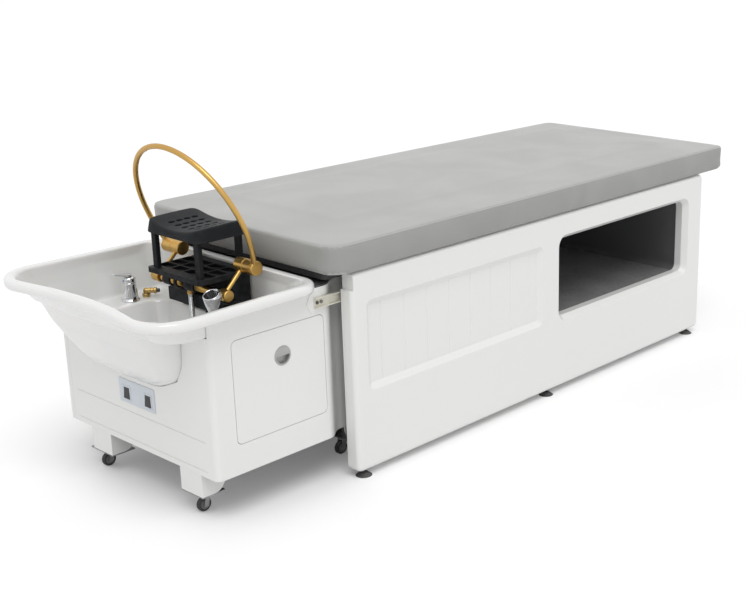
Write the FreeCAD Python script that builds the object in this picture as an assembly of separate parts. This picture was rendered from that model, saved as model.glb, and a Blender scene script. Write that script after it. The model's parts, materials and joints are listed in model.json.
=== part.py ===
"""Hair washing bed: a padded bed with a storage niche, and a wash unit on casters docked at its head.

Millimetres. +X runs from the basin to the foot of the bed, +Z is up, and the side with the storage
niche and the service door faces -Y. The origin is on the floor, under the middle of the whole bed.
Each piece is a solid in its own STEP file under parts/.
"""
import FreeCAD, Part
import math
import os

V = FreeCAD.Vector

# Fits and cuts
PLAY = 0.3
FIT = 0.05
OVERRUN = 20.0
SEAT_GAP = 0.3

# Mattress and the board under it
MATTRESS_HEAD_X = -570.0
MATTRESS_LENGTH = 1592.0
FOOT_X = MATTRESS_HEAD_X + MATTRESS_LENGTH
MATTRESS_WIDTH = 700.0
MATTRESS_SIDE = 70.0
MATTRESS_CROWN = 10.0
MATTRESS_BOTTOM_Z = 504.0
MATTRESS_HEAD_RADIUS = 52.0
MATTRESS_FOOT_RADIUS = 28.0
MATTRESS_EDGE_ROLL = 6.0
MATTRESS_BOW = 2.0
MATTRESS_CROWN_RUN = 150.0
MATTRESS_CORNER_LOSS_SHARE = 0.6
MATTRESS_SIDE_SHARES = (
    # level up the side, inset of the outline
    (0.0, 1.0),
    (0.04, 0.35),
    (0.10, 0.12),
    (0.30, 0.46),
    (0.50, 0.58),
    (0.70, 0.46),
    (0.95, 0.0),
    (1.0, 0.0),
)
MATTRESS_CROWN_SHARES = (
    (0.22, 0.02),
    (0.50, 0.08),
    (0.75, 0.25),
    (0.92, 0.55),
    (1.0, 1.0),
)
BOARD_THICKNESS = 16.0
BOARD_INSET = 18.0
BOARD_SIDE_GAP = 4.0

# Side panels: hollow mouldings, open at the back
PANEL_WALL = 4.0
PANEL_DEPTH = 38.0
PANEL_BOTTOM_Z = 18.0
MATTRESS_REVEAL = 4.0
PANEL_TOP_Z = MATTRESS_BOTTOM_Z - MATTRESS_REVEAL
PANEL_SIDE_INSET = 10.0
PANEL_HEAD_INSET = 60.0
PANEL_FOOT_INSET = 104.0
PANEL_CORNER_RADIUS = 16.0
PANEL_EDGE_ROUND = 12.0
PANEL_Y = MATTRESS_WIDTH / 2 - PANEL_SIDE_INSET
PANEL_BACK_Y = PANEL_Y - PANEL_DEPTH
PANEL_HEAD_X = MATTRESS_HEAD_X + PANEL_HEAD_INSET
PANEL_FOOT_X = FOOT_X - PANEL_FOOT_INSET
PANEL_LENGTH = PANEL_FOOT_X - PANEL_HEAD_X

# Shallow recess with board grooves, and the storage niche
RECESS_DEPTH = 10.0
RECESS_BEVEL = 15.0
RECESS_RADIUS = 18.0
RECESS_FROM_HEAD = 40.0
RECESS_LENGTH_SHARE = 0.4398
RECESS_LENGTH = PANEL_LENGTH * RECESS_LENGTH_SHARE
RECESS_BOTTOM_Z = 212.0
RECESS_TOP_Z = 430.0
GROOVE_PITCH = 76.0
GROOVE_HALF_WIDTH = 2.0
GROOVE_DEPTH = 1.6
NICHE_FROM_FOOT = 85.0
NICHE_LENGTH_SHARE = 0.4181
NICHE_LENGTH = PANEL_LENGTH * NICHE_LENGTH_SHARE
NICHE_BOTTOM_Z = 215.0
NICHE_TOP_Z = 430.0
NICHE_RADIUS = 20.0
NICHE_BEVEL = 12.0
NICHE_BEVEL_DEPTH = 16.0
NICHE_BACK_MARGIN = 140.0
NICHE_DEPTH = MATTRESS_WIDTH - NICHE_BACK_MARGIN
LINER_WALL = 5.0
LINER_STEP = 6.0
MAT_THICKNESS = 3.0
MAT_SEAM_SHARE = 0.39
MAT_SEAM_X = PANEL_FOOT_X - NICHE_FROM_FOOT - NICHE_LENGTH * MAT_SEAM_SHARE
MAT_SEAM_GAP = 0.8
NOTCH_HEIGHT = 40.0
NOTCH_SETBACK = 6.0

# Bed frame
TUBE = 30.0
TUBE_ROUND = 3.0
RAIL_GAP = 2.0
PANEL_INNER_ROUND = 5.0
UPRIGHT_FROM_END = 17.0
UPRIGHT_STEP = 4.0
CROSSBAR_HEAD_X = -372.0
FOOT_PANEL_THICKNESS = 12.0
FOOT_PAD_RADIUS = 20.0
FOOT_PAD_HEIGHT = 8.0
FOOT_STUD_RADIUS = 5.0
FOOT_HOLE_RADIUS = 7.0

# Wash cabinet
CABINET_FRONT_X = -864.0
CABINET_SIDE_INSET = 61.0
CABINET_HALF_WIDTH = MATTRESS_WIDTH / 2 - CABINET_SIDE_INSET
CABINET_SIDE_STEP = 27.0
CABINET_NARROW_HALF = CABINET_HALF_WIDTH - CABINET_SIDE_STEP
CABINET_REAR_X = -385.0
CABINET_BEND_X = -538.0
CABINET_BEND_END_X = -505.0
CABINET_BEND_RADIUS = 36.0
CABINET_CORNER_RADIUS = 14.0
CABINET_REAR_RADIUS = 10.0
CABINET_WALL = 4.0
CABINET_BOTTOM_Z = 107.5
CABINET_TOP_Z = 474.0
CABINET_SEAM = 0.6
FRONT_FLANGE_FAR = 24.0
BASE_PAN_THICKNESS = 3.0
TOP_PLATE_THICKNESS = 4.0
TOP_PLATE_GAP = 2.0
FRONT_GROOVE_DEPTH = 1.2
FRONT_GROOVE_HALF = 1.2
FRONT_GROOVE_MARGIN = 22.0
FRONT_GROOVE_LOW_Z = 122.0
FRONT_GROOVE_MID_Z = 190.0
BASIN_CLEARANCE = 1.5

# Basin: outlines are (front, belly, rear, near, far, radius) at the lower and the upper level
RIM_TOP_Z = 498.0
RIM_REAR_X = -577.0
RIM_LOBE_X = -1037.8
RIM_LOBE_STEP = 6.0
RIM_MID_X = -988.0
RIM_MID_Y = -30.0
RIM_NEAR_OVERHANG = 51.0
RIM_NEAR_Y = CABINET_HALF_WIDTH + RIM_NEAR_OVERHANG
RIM_FAR_OVERHANG = 11.0
RIM_FAR_Y = CABINET_HALF_WIDTH + RIM_FAR_OVERHANG
RIM_TAPER = 12.0
RIM_FRONT_RADIUS = 95.0
RIM_REAR_RADIUS = 58.0
RIM_WIDTH = 24.0
RIM_ROLL = 10.5
SPACE_LAP = 1.5
MOUTH_LAP = 6.0
FRONT_SWEEP_RADIUS = 800.0
SKIRT_BOTTOM_Z = 431.0
SKIRT_INSET = 8.0
SKIRT_HALF = CABINET_HALF_WIDTH - SKIRT_INSET
SKIRT_LOW = (-951.0, 4.0, -588.0, -SKIRT_HALF, SKIRT_HALF, 62.0)
SKIRT_HIGH = (-990.0, -16.0, -588.0, -SKIRT_HALF, SKIRT_HALF, 66.0)
FLARE_TOP_Z = 490.0
FLARE_STEP = 10.0
FLARE_SPREAD = 27.0
FLARE_LOW_NEAR = -SKIRT_HALF - FLARE_STEP
FLARE_HIGH_NEAR = FLARE_LOW_NEAR - FLARE_SPREAD
FLARE_LOW = (-992.0, -16.0, -586.0, FLARE_LOW_NEAR, SKIRT_HALF, 66.0)
FLARE_HIGH = (-1002.0, -18.0, -584.0, FLARE_HIGH_NEAR, SKIRT_HALF, 80.0)
BOWL_BOTTOM_Z = 272.0
BOWL_LOW = (-850.0, 8.0, -668.0, -100.0, 122.0, 35.0)
BOWL_HIGH = (-938.0, 10.0, -588.0, -194.0, SKIRT_HALF, 62.0)
BOWL_SHARES = (
    # level and belly, front, rear, near, far, radius
    (0.0, 0.0, 0.0, 0.0, 0.0, 0.0),
    (0.077, 0.25, 0.16, 0.27, 0.26, 0.33),
    (0.225, 0.45, 0.29, 0.77, 0.46, 0.66),
    (0.46, 0.62, 0.35, 0.94, 0.73, 0.83),
    (0.615, 0.72, 0.37, 0.97, 0.88, 0.90),
    (0.657, 0.74, 0.985, 0.97, 0.94, 0.92),
    (1.0, 1.0, 1.0, 1.0, 1.0, 1.0),
)
BOWL_FLOOR_Z = 286.0
DECK_Z = 380.0
WELL_FAR_INSET = 103.0
WELL_FAR_Y = CABINET_HALF_WIDTH - WELL_FAR_INSET
WELL_LOW = (-838.0, 8.0, -680.0, -88.0, 112.0, 30.0)
WELL_HIGH = (-898.0, 10.0, -652.0, -183.0, WELL_FAR_Y, 50.0)
WELL_SHARES = (
    (0.0, 0.0, 0.0, 0.0, 0.0, 0.0),
    (0.12, 0.45, 0.45, 0.55, 0.40, 0.60),
    (1.0, 1.0, 1.0, 1.0, 1.0, 1.0),
)
TRAY_FLOOR_INSET = 27.0
TRAY_FLOOR_FAR_Y = CABINET_HALF_WIDTH - TRAY_FLOOR_INSET
TRAY_MOUTH_INSET = 14.0
TRAY_MOUTH_HALF = CABINET_HALF_WIDTH - TRAY_MOUTH_INSET
TRAY_LOW = (-902.0, 10.0, -597.0, -184.0, TRAY_FLOOR_FAR_Y, 36.0)
TRAY_HIGH = (-980.0, -12.0, -594.0, -TRAY_MOUTH_HALF, TRAY_MOUTH_HALF, 66.0)
TRAY_SHARES = (
    (0.0, 0.0, 0.0, 0.0, 0.0, 0.0),
    (0.60, 0.42, 0.50, 0.02, 0.62, 0.40),
    (0.72, 0.62, 0.68, 0.78, 0.80, 0.66),
    (1.0, 1.0, 1.0, 1.0, 1.0, 1.0),
)
DRAIN_X = -760.0
DRAIN_Y = -20.0

# Waste outlet, strainer, pipe, tank and pump
OUTLET_FLANGE_RADIUS = 34.0
OUTLET_FLANGE_THICKNESS = 3.0
OUTLET_TAIL_RADIUS = 24.0
OUTLET_TAIL_BOTTOM_Z = 238.0
OUTLET_WALL = 2.5
STRAINER_RADIUS = 30.0
STRAINER_CUP_RADIUS = 21.0
STRAINER_CUP_DEPTH = 8.0
STRAINER_THICKNESS = 1.5
STRAINER_HOLE_RADIUS = 2.2
STRAINER_HOLES = 8
STRAINER_HOLE_RING = 13.0
STRAINER_KNOB_RADIUS = 4.0
STRAINER_KNOB_HEIGHT = 9.0
PIPE_RADIUS = 20.0
PIPE_LEVEL_Z = 170.0
TANK_LENGTH = 170.0
TANK_WIDTH = 250.0
TANK_HEIGHT = 215.0
TANK_FRONT_X = -600.0
TANK_ROUND = 14.0
TANK_CAP_RADIUS = 30.0
TANK_CAP_HEIGHT = 12.0
PUMP_X = -775.0
PUMP_Y = 130.0
PUMP_LENGTH = 82.0
PUMP_RADIUS = 38.0
PUMP_CLEAR = 8.0
PUMP_FOOT_WIDTH = 60.0
PUMP_HEAD_RADIUS = 42.0
PUMP_HEAD_LENGTH = 28.0

# Control plate and rocker switches
PLATE_NEAR_Y = -77.0
PLATE_FAR_Y = 58.0
PLATE_BOTTOM_Z = 210.0
PLATE_TOP_Z = 266.0
PLATE_THICKNESS = 2.0
PLATE_RADIUS = 3.0
SWITCH_Y = (28.0, -53.0)
SWITCH_Z = 234.0
SWITCH_WIDTH = 25.0
SWITCH_HEIGHT = 31.0
SWITCH_BEZEL = 2.0
SWITCH_DEPTH = 22.0
SWITCH_WALL = 1.5
ROCKER_GAP = 0.8
ROCKER_PROUD = 1.5
ROCKER_DEPTH = 8.0
ROCKER_PIN_RADIUS = 1.2
ROCKER_PIN_REACH = 1.0
ROCKER_PIVOT_BACK = 2.0
ROCKER_TILT = 6.0

# Leg brackets and casters
BRACKET_PLATE = 3.0
BRACKET_SETBACK = 2.0
BRACKET_WIDTH = 77.0
BRACKET_RUN = 62.0
BRACKET_NEAR_INSET = 64.0
BRACKET_NEAR_Y = BRACKET_NEAR_INSET - CABINET_HALF_WIDTH
BRACKET_FAR_INSET = 167.0
BRACKET_FAR_Y = CABINET_HALF_WIDTH - BRACKET_FAR_INSET
BRACKET_BOTTOM_Z = 52.0
BRACKET_CURVE = 30.0
CASTER_PLATE_THICKNESS = 3.0
CASTER_PLATE_HALF = 25.0
WHEEL_RADIUS = 17.0
TYRE_HALF_WIDTH = 6.5
TYRE_ROUND = 2.5
HUB_RADIUS = 11.0
HUB_HALF_WIDTH = 7.0
AXLE_RADIUS = 2.0
CASTER_INSET = 102.5
CASTER_Y = CABINET_HALF_WIDTH - CASTER_INSET
CASTER_FRONT_X = -834.5
CASTER_REAR_X = -430.0
CASTER_TRAIL = 8.0
FORK_PLATE = 2.0
FORK_GAP = 0.8
FORK_EYE = 5.5
CROWN_BOTTOM_Z = 38.0
CROWN_TOP_Z = 44.0
CROWN_RADIUS = 12.5
SWIVEL_RADIUS = 13.0
SWIVEL_STEM_RADIUS = 4.0

# Coupling links between the wash unit and the bed
LINK_Z = 441.0
LINK_PLATE_HALF = 23.0
LINK_PLATE_X = -600.0
LINK_PLATE_LENGTH = 50.0
LINK_PLATE_POINT = 12.0
LINK_PLATE_THICKNESS = 1.5
LINK_CHANNEL_HALF = 12.0
LINK_CHANNEL_DEPTH = 9.0
LINK_CHANNEL_WALL = 2.0
LINK_CHANNEL_HEAD_X = -580.0
LINK_CHANNEL_FOOT_X = -362.0
LINK_GUIDE_LENGTH = 14.0
LINK_GUIDE_GAP = 0.6
LINK_SCREW_X = (-572.0, -560.0)
LINK_SCREW_RADIUS = 2.0
LINK_SCREW_HEAD_RADIUS = 4.0
LINK_SCREW_HEAD = 2.0

# Door on the near side
DOOR_HEAD_X = -807.0
DOOR_FOOT_X = -554.0
DOOR_BOTTOM_Z = 176.0
DOOR_TOP_Z = 410.0
DOOR_RADIUS = 13.0
DOOR_GAP = 1.2
DOOR_PIN_UP = 10.5
DOOR_PIN_RADIUS = 1.2
DOOR_PIN_INSIDE = 8.0
DOOR_PIN_REACH = 5.0
PULL_X = -673.0
PULL_Z = 344.0
PULL_RADIUS = 22.5
PULL_BODY_RADIUS = 20.0
PULL_CUP_RADIUS = 18.5
PULL_PROUD = 0.8
PULL_DEPTH = 9.0
PULL_WALL = 1.3

# Tap and supply elbow on the deck
TAP_X = -719.0
TAP_INSET = 77.0
TAP_Y = CABINET_HALF_WIDTH - TAP_INSET
TAP_FLANGE_RADIUS = 21.5
TAP_FLANGE_HEIGHT = 6.0
TAP_BODY_LOW_RADIUS = 17.5
TAP_BODY_HIGH_RADIUS = 15.5
TAP_BODY_HEIGHT = 40.0
TAP_HEAD_HEIGHT = 14.0
TAP_HEAD_ROUND = 3.0
TAP_STEM_RADIUS = 6.0
TAP_STEM_DEPTH = 16.0
LEVER_LENGTH = 52.0
LEVER_ROOT_WIDTH = 22.0
LEVER_TIP_WIDTH = 14.0
LEVER_ROUND = 5.0
LEVER_THICKNESS = 4.0
LEVER_LIFT_OFF = 1.0
LEVER_SLOPE = 6.0
LEVER_TONGUE_WIDTH = 7.0
LEVER_TONGUE_RADIUS = 5.0
LEVER_SLOT_REACH = 3.5
LEVER_PIN_RADIUS = 1.6
LEVER_PIN_HALF = 10.0
ELBOW_X = -676.0
ELBOW_Y = TAP_Y
ELBOW_NUT_RADIUS = 9.5
ELBOW_NUT_HEIGHT = 8.0
NUT_SIDES = 6
ELBOW_RADIUS = 6.5
ELBOW_UP = 15.0
ELBOW_REACH = 26.0
ELBOW_COLLAR_RADIUS = 8.0
ELBOW_COLLAR_LENGTH = 6.0
ELBOW_TIP_RADIUS = 4.5
ELBOW_TIP_LENGTH = 7.0
ELBOW_TURN = -45.0

# Neck rest, its tray and base
MANIFOLD_X = -693.0
MANIFOLD_Z = 453.0
MANIFOLD_RADIUS = 9.0
MANIFOLD_HALF = 108.0
MANIFOLD_SPIGOT_RADIUS = 5.0
MANIFOLD_SPIGOT_LENGTH = 22.0
BASE_FRONT_X = -652.0
BASE_REAR_GAP = 1.0
BASE_REAR_X = RIM_REAR_X - RIM_WIDTH - BASE_REAR_GAP
BASE_HALF = 98.0
BASE_WALL = 5.0
TRAY_BOTTOM_Z = 478.0
TRAY_TOP_Z = 490.0
TRAY_FRONT_X = -741.0
TRAY_REAR_X = BASE_REAR_X
TRAY_HALF = 98.0
TRAY_ROUND = 8.0
TRAY_POCKET_DEPTH = 7.0
TRAY_RIB = 5.0
TRAY_POCKETS_LONG = 3
TRAY_POCKETS_WIDE = 4
BAR_FRONT_X = -684.0
BAR_BOTTOM_Z = 398.0
BAR_TOP_Z = 430.0
BAR_FAR_Y = 105.0
CLAMP_Y = (80.0, 46.0, -6.0)
CLAMP_WIDTH = (26.0, 8.0, 36.0)
CLAMP_RADIUS = 14.0
CLAMP_NECK = 16.0
NECK_FRONT_X = -745.0
NECK_REAR_X = -598.0
NECK_MIDDLE_Y = -8.0
NECK_HALF = 100.0
NECK_TOP_Z = 611.0
NECK_BOTTOM_Z = 575.0
NECK_DIP = 17.0
NECK_CORNER = 14.0
NECK_WALL = 4.0
NECK_EDGE_ROUND = 8.0
NECK_DIP_RADIUS = 290.0
SOCKET_FLOOR = 2.0
NECK_LEG_X = (-726.0, -616.0)
NECK_LEG_Y = (-83.0, 77.0)
NECK_LEG_WIDTH = 16.0
NECK_LEG_THICKNESS = 12.0
NECK_HOLE_LENGTH = 15.0
NECK_HOLE_WIDTH = 7.0
NECK_HOLE_PITCH_X = 21.0
NECK_HOLE_PITCH_Y = 25.0
NECK_HOLE_ROWS = 4
NECK_HOLE_COLUMNS = 5

# Swinging water halo
PIVOT_X = -635.0
PIVOT_Z = 510.0
PIVOT_RADIUS = 17.0
PIVOT_INNER_Y = 104.0
PIVOT_SPLIT_Y = 134.0
PIVOT_OUTER_Y = 170.0
PIVOT_PIN_RADIUS = 6.0
PIVOT_PIN_DEPTH = 24.0
PIVOT_CHAMFER = 1.5
ARM_Y = 122.0
ARM_RADIUS = 5.0
CAP_RADIUS = 14.0
CAP_INNER_Y = 113.0
CAP_OUTER_Y = 140.0
HALO_HOLES = 15
HALO_HOLE_RADIUS = 1.0
HALO_FOOT_Y = 157.0
HALO_HEIGHT = 289.0
HALO_TUBE_RADIUS = 6.25
HALO_TUBE_WALL = 1.5
HALO_TILT = 21.6

# Hand shower, holder and hose
SHOWER_X = -731.0
SHOWER_Y = -130.0
SHOWER_BOTTOM_Z = 387.0
SHOWER_LEVEL_SHARES = (0.0, 0.42, 0.62, 0.80, 0.93, 1.0)
SHOWER_RADIUS_SHARES = (0.42, 0.50, 0.80, 1.0, 0.92, 0.62)
SHOWER_LENGTH = 92.0
SHOWER_RADIUS = 22.0
SHOWER_FACE_OFF = 15.0
SHOWER_FACE_RADIUS = 14.0
SHOWER_FACE_THICKNESS = 2.0
HOLDER_Z = 413.0
HOLDER_HEIGHT = 14.0
HOLDER_WALL = 4.0
HOLDER_NOSE = 10.0
HOLDER_MOUTH = 24.0
BAR_NEAR_Y = SHOWER_Y - HOLDER_MOUTH / 2 - HOLDER_WALL
HOSE_RADIUS = 6.5
HOSE_PORT_RADIUS = 8.0
HOSE_PORT_LENGTH = 12.0
HOSE_ROUTE = (
    (MANIFOLD_X, 4.0, MANIFOLD_Z - MANIFOLD_RADIUS - HOSE_PORT_LENGTH),
    (MANIFOLD_X, 4.0, 400.0),
    (MANIFOLD_X - 5.0, -2.0, 362.0),
    (MANIFOLD_X - 13.0, -22.0, 328.0),
    (MANIFOLD_X - 22.0, -58.0, 309.0),
    (MANIFOLD_X - 31.0, -98.0, 319.0),
    (SHOWER_X, SHOWER_Y, 352.0),
    (SHOWER_X, SHOWER_Y, SHOWER_BOTTOM_Z - SEAT_GAP),
)
HOSE_ARC_SHARE = 0.45


def at_plane(plane, u, v, level):
    """Point (u, v) of an outline in the named plane, at that level along the third axis."""
    if plane == "xy":
        return V(u, v, level)
    if plane == "xz":
        return V(u, level, v)
    return V(level, u, v)


def corner(before, here, after, radius):
    """Start, middle and end of the arc that rounds the corner here."""
    to_before = (before - here).normalize()
    to_after = (after - here).normalize()
    half = to_before.getAngle(to_after) / 2
    reach = radius / math.tan(half)
    middle_way = (to_before + to_after).normalize()
    centre = here + middle_way * (radius / math.sin(half))
    return here + to_before * reach, centre - middle_way * radius, here + to_after * reach


def outline(points, plane, level, bow=0.0):
    """Closed wire through (u, v, radius) points with rounded corners; bow draws the long sides in."""
    places = [at_plane(plane, u, v, level) for u, v, _ in points]
    count = len(points)
    arcs = []
    for i in range(count):
        arcs.append(corner(places[i - 1], places[i], places[(i + 1) % count], points[i][2]))
    middle = V(0, 0, 0)
    for place in places:
        middle = middle + place * (1 / count)
    edges = []
    for i in range(count):
        start, middle_point, end = arcs[i]
        edges.append(Part.Arc(start, middle_point, end).toShape())
        following = arcs[(i + 1) % count][0]
        if bow > 0:
            half_way = (end + following) * (1 / 2)
            inward = V(0, middle.y - half_way.y, 0)
            if abs(following.x - end.x) > abs(following.y - end.y):
                half_way = half_way + inward.normalize() * bow
                edges.append(Part.Arc(end, half_way, following).toShape())
                continue
        edges.append(Part.LineSegment(end, following).toShape())
    return Part.Wire(edges)


def outward(solid):
    """The solid with its faces turned outward."""
    if solid.Volume < 0:
        solid.reverse()
    return solid


def extruded(wire, way):
    """Solid of a closed flat wire pushed along way."""
    return outward(Part.Face(wire).extrude(way))


def prism(points, plane, low, high):
    """Rounded outline drawn at low and extruded to high along the plane's normal."""
    return extruded(outline(points, plane, low), at_plane(plane, 0, 0, high - low))


def loft(wires):
    """Ruled solid through closed wires."""
    return outward(Part.makeLoft(wires, True, True))


def rectangle(u0, u1, v0, v1, radius, grow=0.0):
    """Four rounded corners, in order round the rectangle, grown outward on every side."""
    bend = radius + grow
    return (
        (u0 - grow, v0 - grow, bend),
        (u1 + grow, v0 - grow, bend),
        (u1 + grow, v1 + grow, bend),
        (u0 - grow, v1 + grow, bend),
    )


def block(x0, x1, y0, y1, z0, z1):
    """Box between two corners."""
    return Part.makeBox(x1 - x0, y1 - y0, z1 - z0, V(x0, y0, z0))


def rod(start, way, radius, length):
    """Round bar from start along way."""
    return Part.makeCylinder(radius, length, start, way)


def bar_y(x, z, radius, y0, y1):
    """Round bar across the bed from y0 to y1."""
    low = min(y0, y1)
    return rod(V(x, low, z), V(0, 1, 0), radius, abs(y1 - y0))


def fuse(shapes):
    """One solid out of several touching ones."""
    whole = shapes[0]
    for shape in shapes[1:]:
        whole = whole.fuse(shape)
    return whole.removeSplitter()


def mirrored(shape):
    """The same piece on the other side of the bed."""
    return shape.mirror(V(0, 0, 0), V(0, 1, 0))


def group(shapes):
    """Separate solids of one node."""
    return Part.makeCompound(shapes)


def blend(low, high, share):
    """Value at that share of the way from low to high."""
    return low + (high - low) * share


def round_edges(shape, radius, wanted):
    """Fillet the edges that the test picks."""
    edges = [edge for edge in shape.Edges if wanted(edge)]
    return shape.makeFillet(radius, edges)


def lies_at(edge, axis, value, slack=0.01):
    """True where the whole edge lies at one value of that axis."""
    box = edge.BoundBox
    low = {"x": box.XMin, "y": box.YMin, "z": box.ZMin}[axis]
    high = {"x": box.XMax, "y": box.YMax, "z": box.ZMax}[axis]
    return abs(low - value) < slack and abs(high - value) < slack


def mattress():
    """Crowned pad: rolled bottom edge, drawn-in sides, a seam at the top edge and a low crown."""
    head, foot, half = MATTRESS_HEAD_X, FOOT_X, MATTRESS_WIDTH / 2
    seam_z = MATTRESS_BOTTOM_Z + MATTRESS_SIDE
    rows = []
    for level, share in MATTRESS_SIDE_SHARES:
        rows.append((MATTRESS_BOTTOM_Z + MATTRESS_SIDE * level, MATTRESS_EDGE_ROLL * share))
    for level, share in MATTRESS_CROWN_SHARES:
        rows.append((seam_z + MATTRESS_CROWN * level, MATTRESS_CROWN_RUN * share))
    wires = []
    for level, inset in rows:
        kept = 1 - MATTRESS_CORNER_LOSS_SHARE * inset / MATTRESS_CROWN_RUN
        points = (
            (head + inset, inset - half, MATTRESS_HEAD_RADIUS * kept),
            (foot - inset, inset - half, MATTRESS_FOOT_RADIUS * kept),
            (foot - inset, half - inset, MATTRESS_FOOT_RADIUS * kept),
            (head + inset, half - inset, MATTRESS_HEAD_RADIUS * kept),
        )
        wires.append(outline(points, "xy", level, MATTRESS_BOW))
    return loft(wires)


def mattress_board():
    """Dark board under the mattress, lying on the crossbars between the side panels."""
    half = PANEL_BACK_Y - BOARD_SIDE_GAP
    points = rectangle(
        MATTRESS_HEAD_X + BOARD_INSET, FOOT_X - BOARD_INSET, -half, half, MATTRESS_FOOT_RADIUS / 2
    )
    return prism(points, "xy", MATTRESS_BOTTOM_Z - BOARD_THICKNESS, MATTRESS_BOTTOM_Z)


def pocket(points_at, face_y, depth, bevel, grow, start=0.0):
    """Bevelled pocket sunk into a face at -Y: wide at the face, narrower by the bevel at the bottom."""
    outer = outline(points_at(grow), "xz", face_y - start)
    inner = outline(points_at(grow - bevel), "xz", face_y + depth + grow)
    return loft([outer, inner])


def panel_block(inset, rounding):
    """Outer block of a side panel, or with an inset the space inside its walls."""
    low_y = -PANEL_Y + inset
    high_y = -PANEL_BACK_Y + (OVERRUN if inset > 0 else 0)
    points = rectangle(
        PANEL_HEAD_X, PANEL_FOOT_X, PANEL_BOTTOM_Z, PANEL_TOP_Z, PANEL_CORNER_RADIUS, -inset
    )
    solid = prism(points, "xz", low_y, high_y)
    solid = round_edges(solid, rounding, lambda edge: lies_at(edge, "y", low_y))
    notch = block(
        PANEL_HEAD_X - OVERRUN, PANEL_HEAD_X + NOTCH_SETBACK + inset, -PANEL_Y - OVERRUN, 0,
        PANEL_TOP_Z - NOTCH_HEIGHT - inset, PANEL_TOP_Z + OVERRUN,
    )
    return solid.cut(notch)


def recess_points(head, foot):
    """Outline of a shallow recess between two places along the panel, as a function of growth."""
    def points(grow):
        return rectangle(head, foot, RECESS_BOTTOM_Z, RECESS_TOP_Z, RECESS_RADIUS, grow)
    return points


def niche_points(grow):
    """Outline of the storage niche's opening."""
    foot = PANEL_FOOT_X - NICHE_FROM_FOOT
    return rectangle(foot - NICHE_LENGTH, foot, NICHE_BOTTOM_Z, NICHE_TOP_Z, NICHE_RADIUS, grow)


def lip_points(grow):
    """Outline of the niche's bevelled lip at the panel's face."""
    return niche_points(NICHE_BEVEL + grow)


def board_grooves(head, foot):
    """Upright grooves in the recess floor, one pitch apart from the head end."""
    floor_y = -PANEL_Y + RECESS_DEPTH
    first = head + RECESS_BEVEL + GROOVE_PITCH / 2
    count = int((foot - RECESS_BEVEL - first) / GROOVE_PITCH) + 1
    base = V(0, 0, RECESS_BOTTOM_Z + RECESS_BEVEL)
    tall = V(0, 0, RECESS_TOP_Z - RECESS_BOTTOM_Z - 2 * RECESS_BEVEL)
    grooves = []
    for i in range(count):
        x = first + i * GROOVE_PITCH
        corners = (
            V(x - GROOVE_HALF_WIDTH, floor_y, 0),
            V(x, floor_y + GROOVE_DEPTH, 0),
            V(x + GROOVE_HALF_WIDTH, floor_y, 0),
            V(x, floor_y - GROOVE_DEPTH, 0),
        )
        section = Part.makePolygon([place + base for place in corners + corners[:1]])
        grooves.append(Part.Face(section).extrude(tall))
    return grooves


def upright_places():
    """Head-side faces of the uprights of a side frame."""
    head = PANEL_HEAD_X + UPRIGHT_FROM_END
    foot = PANEL_FOOT_X - UPRIGHT_FROM_END - TUBE - PANEL_WALL
    niche_head = PANEL_FOOT_X - NICHE_FROM_FOOT - NICHE_LENGTH
    recess_foot = PANEL_HEAD_X + RECESS_FROM_HEAD + RECESS_LENGTH
    middle = (niche_head + recess_foot) / 2 - TUBE / 2
    return head, middle, foot


def foot_places():
    """Where the levelling feet stand, under the uprights of each side frame."""
    return [x + TUBE / 2 for x in upright_places()]


def rail_faces():
    """Outer and inner face of the near side frame."""
    outer = -PANEL_Y + PANEL_WALL + RAIL_GAP
    return outer, outer + TUBE


def frame_levels():
    """Underside of the bottom rails and top of the top rails."""
    return PANEL_BOTTOM_Z + PANEL_WALL, MATTRESS_BOTTOM_Z - BOARD_THICKNESS


def tube_x(x0, x1, y0, z0):
    """Square tube along X with rounded corners."""
    return prism(rectangle(y0, y0 + TUBE, z0, z0 + TUBE, TUBE_ROUND), "yz", x0, x1)


def side_panel(with_niche):
    """Hollow side panel with its recesses, and on the near side the mouth of the storage niche."""
    outer = panel_block(0.0, PANEL_EDGE_ROUND)
    inside = panel_block(PANEL_WALL, PANEL_INNER_ROUND)
    face_y = -PANEL_Y
    back_y = -PANEL_BACK_Y
    head = PANEL_HEAD_X + RECESS_FROM_HEAD
    niche_foot = PANEL_FOOT_X - NICHE_FROM_FOOT
    recesses = [(head, head + RECESS_LENGTH)]
    if not with_niche:
        recesses.append((niche_foot - NICHE_LENGTH - NICHE_BEVEL, niche_foot + NICHE_BEVEL))
    for start, end in recesses:
        points = recess_points(start, end)
        outer = outer.cut(pocket(points, face_y, RECESS_DEPTH, RECESS_BEVEL, 0.0))
        inside = inside.cut(pocket(points, face_y, RECESS_DEPTH, RECESS_BEVEL, PANEL_WALL))
    if with_niche:
        beyond = back_y + 2 * OVERRUN
        inside = inside.cut(prism(niche_points(PANEL_WALL), "xz", face_y, beyond))
        inside = inside.cut(pocket(lip_points, face_y, NICHE_BEVEL_DEPTH, NICHE_BEVEL, PANEL_WALL))
        inside = inside.cut(prism(niche_points(LINER_STEP + LINER_WALL), "xz", back_y - PANEL_WALL, beyond))
    panel = outer.cut(inside)
    if with_niche:
        panel = panel.cut(prism(niche_points(0.0), "xz", face_y - OVERRUN, back_y + OVERRUN))
        panel = panel.cut(pocket(lip_points, face_y, NICHE_BEVEL_DEPTH, NICHE_BEVEL, 0.0))
    for start, end in recesses:
        for groove in board_grooves(start, end):
            panel = panel.cut(groove)
    rail_outer, rail_inner = rail_faces()
    for x in foot_places():
        centre = V(x, (rail_outer + rail_inner) / 2, 0)
        panel = panel.cut(rod(centre, V(0, 0, 1), FOOT_HOLE_RADIUS, PANEL_BOTTOM_Z + 2 * PANEL_WALL))
    return panel


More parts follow.
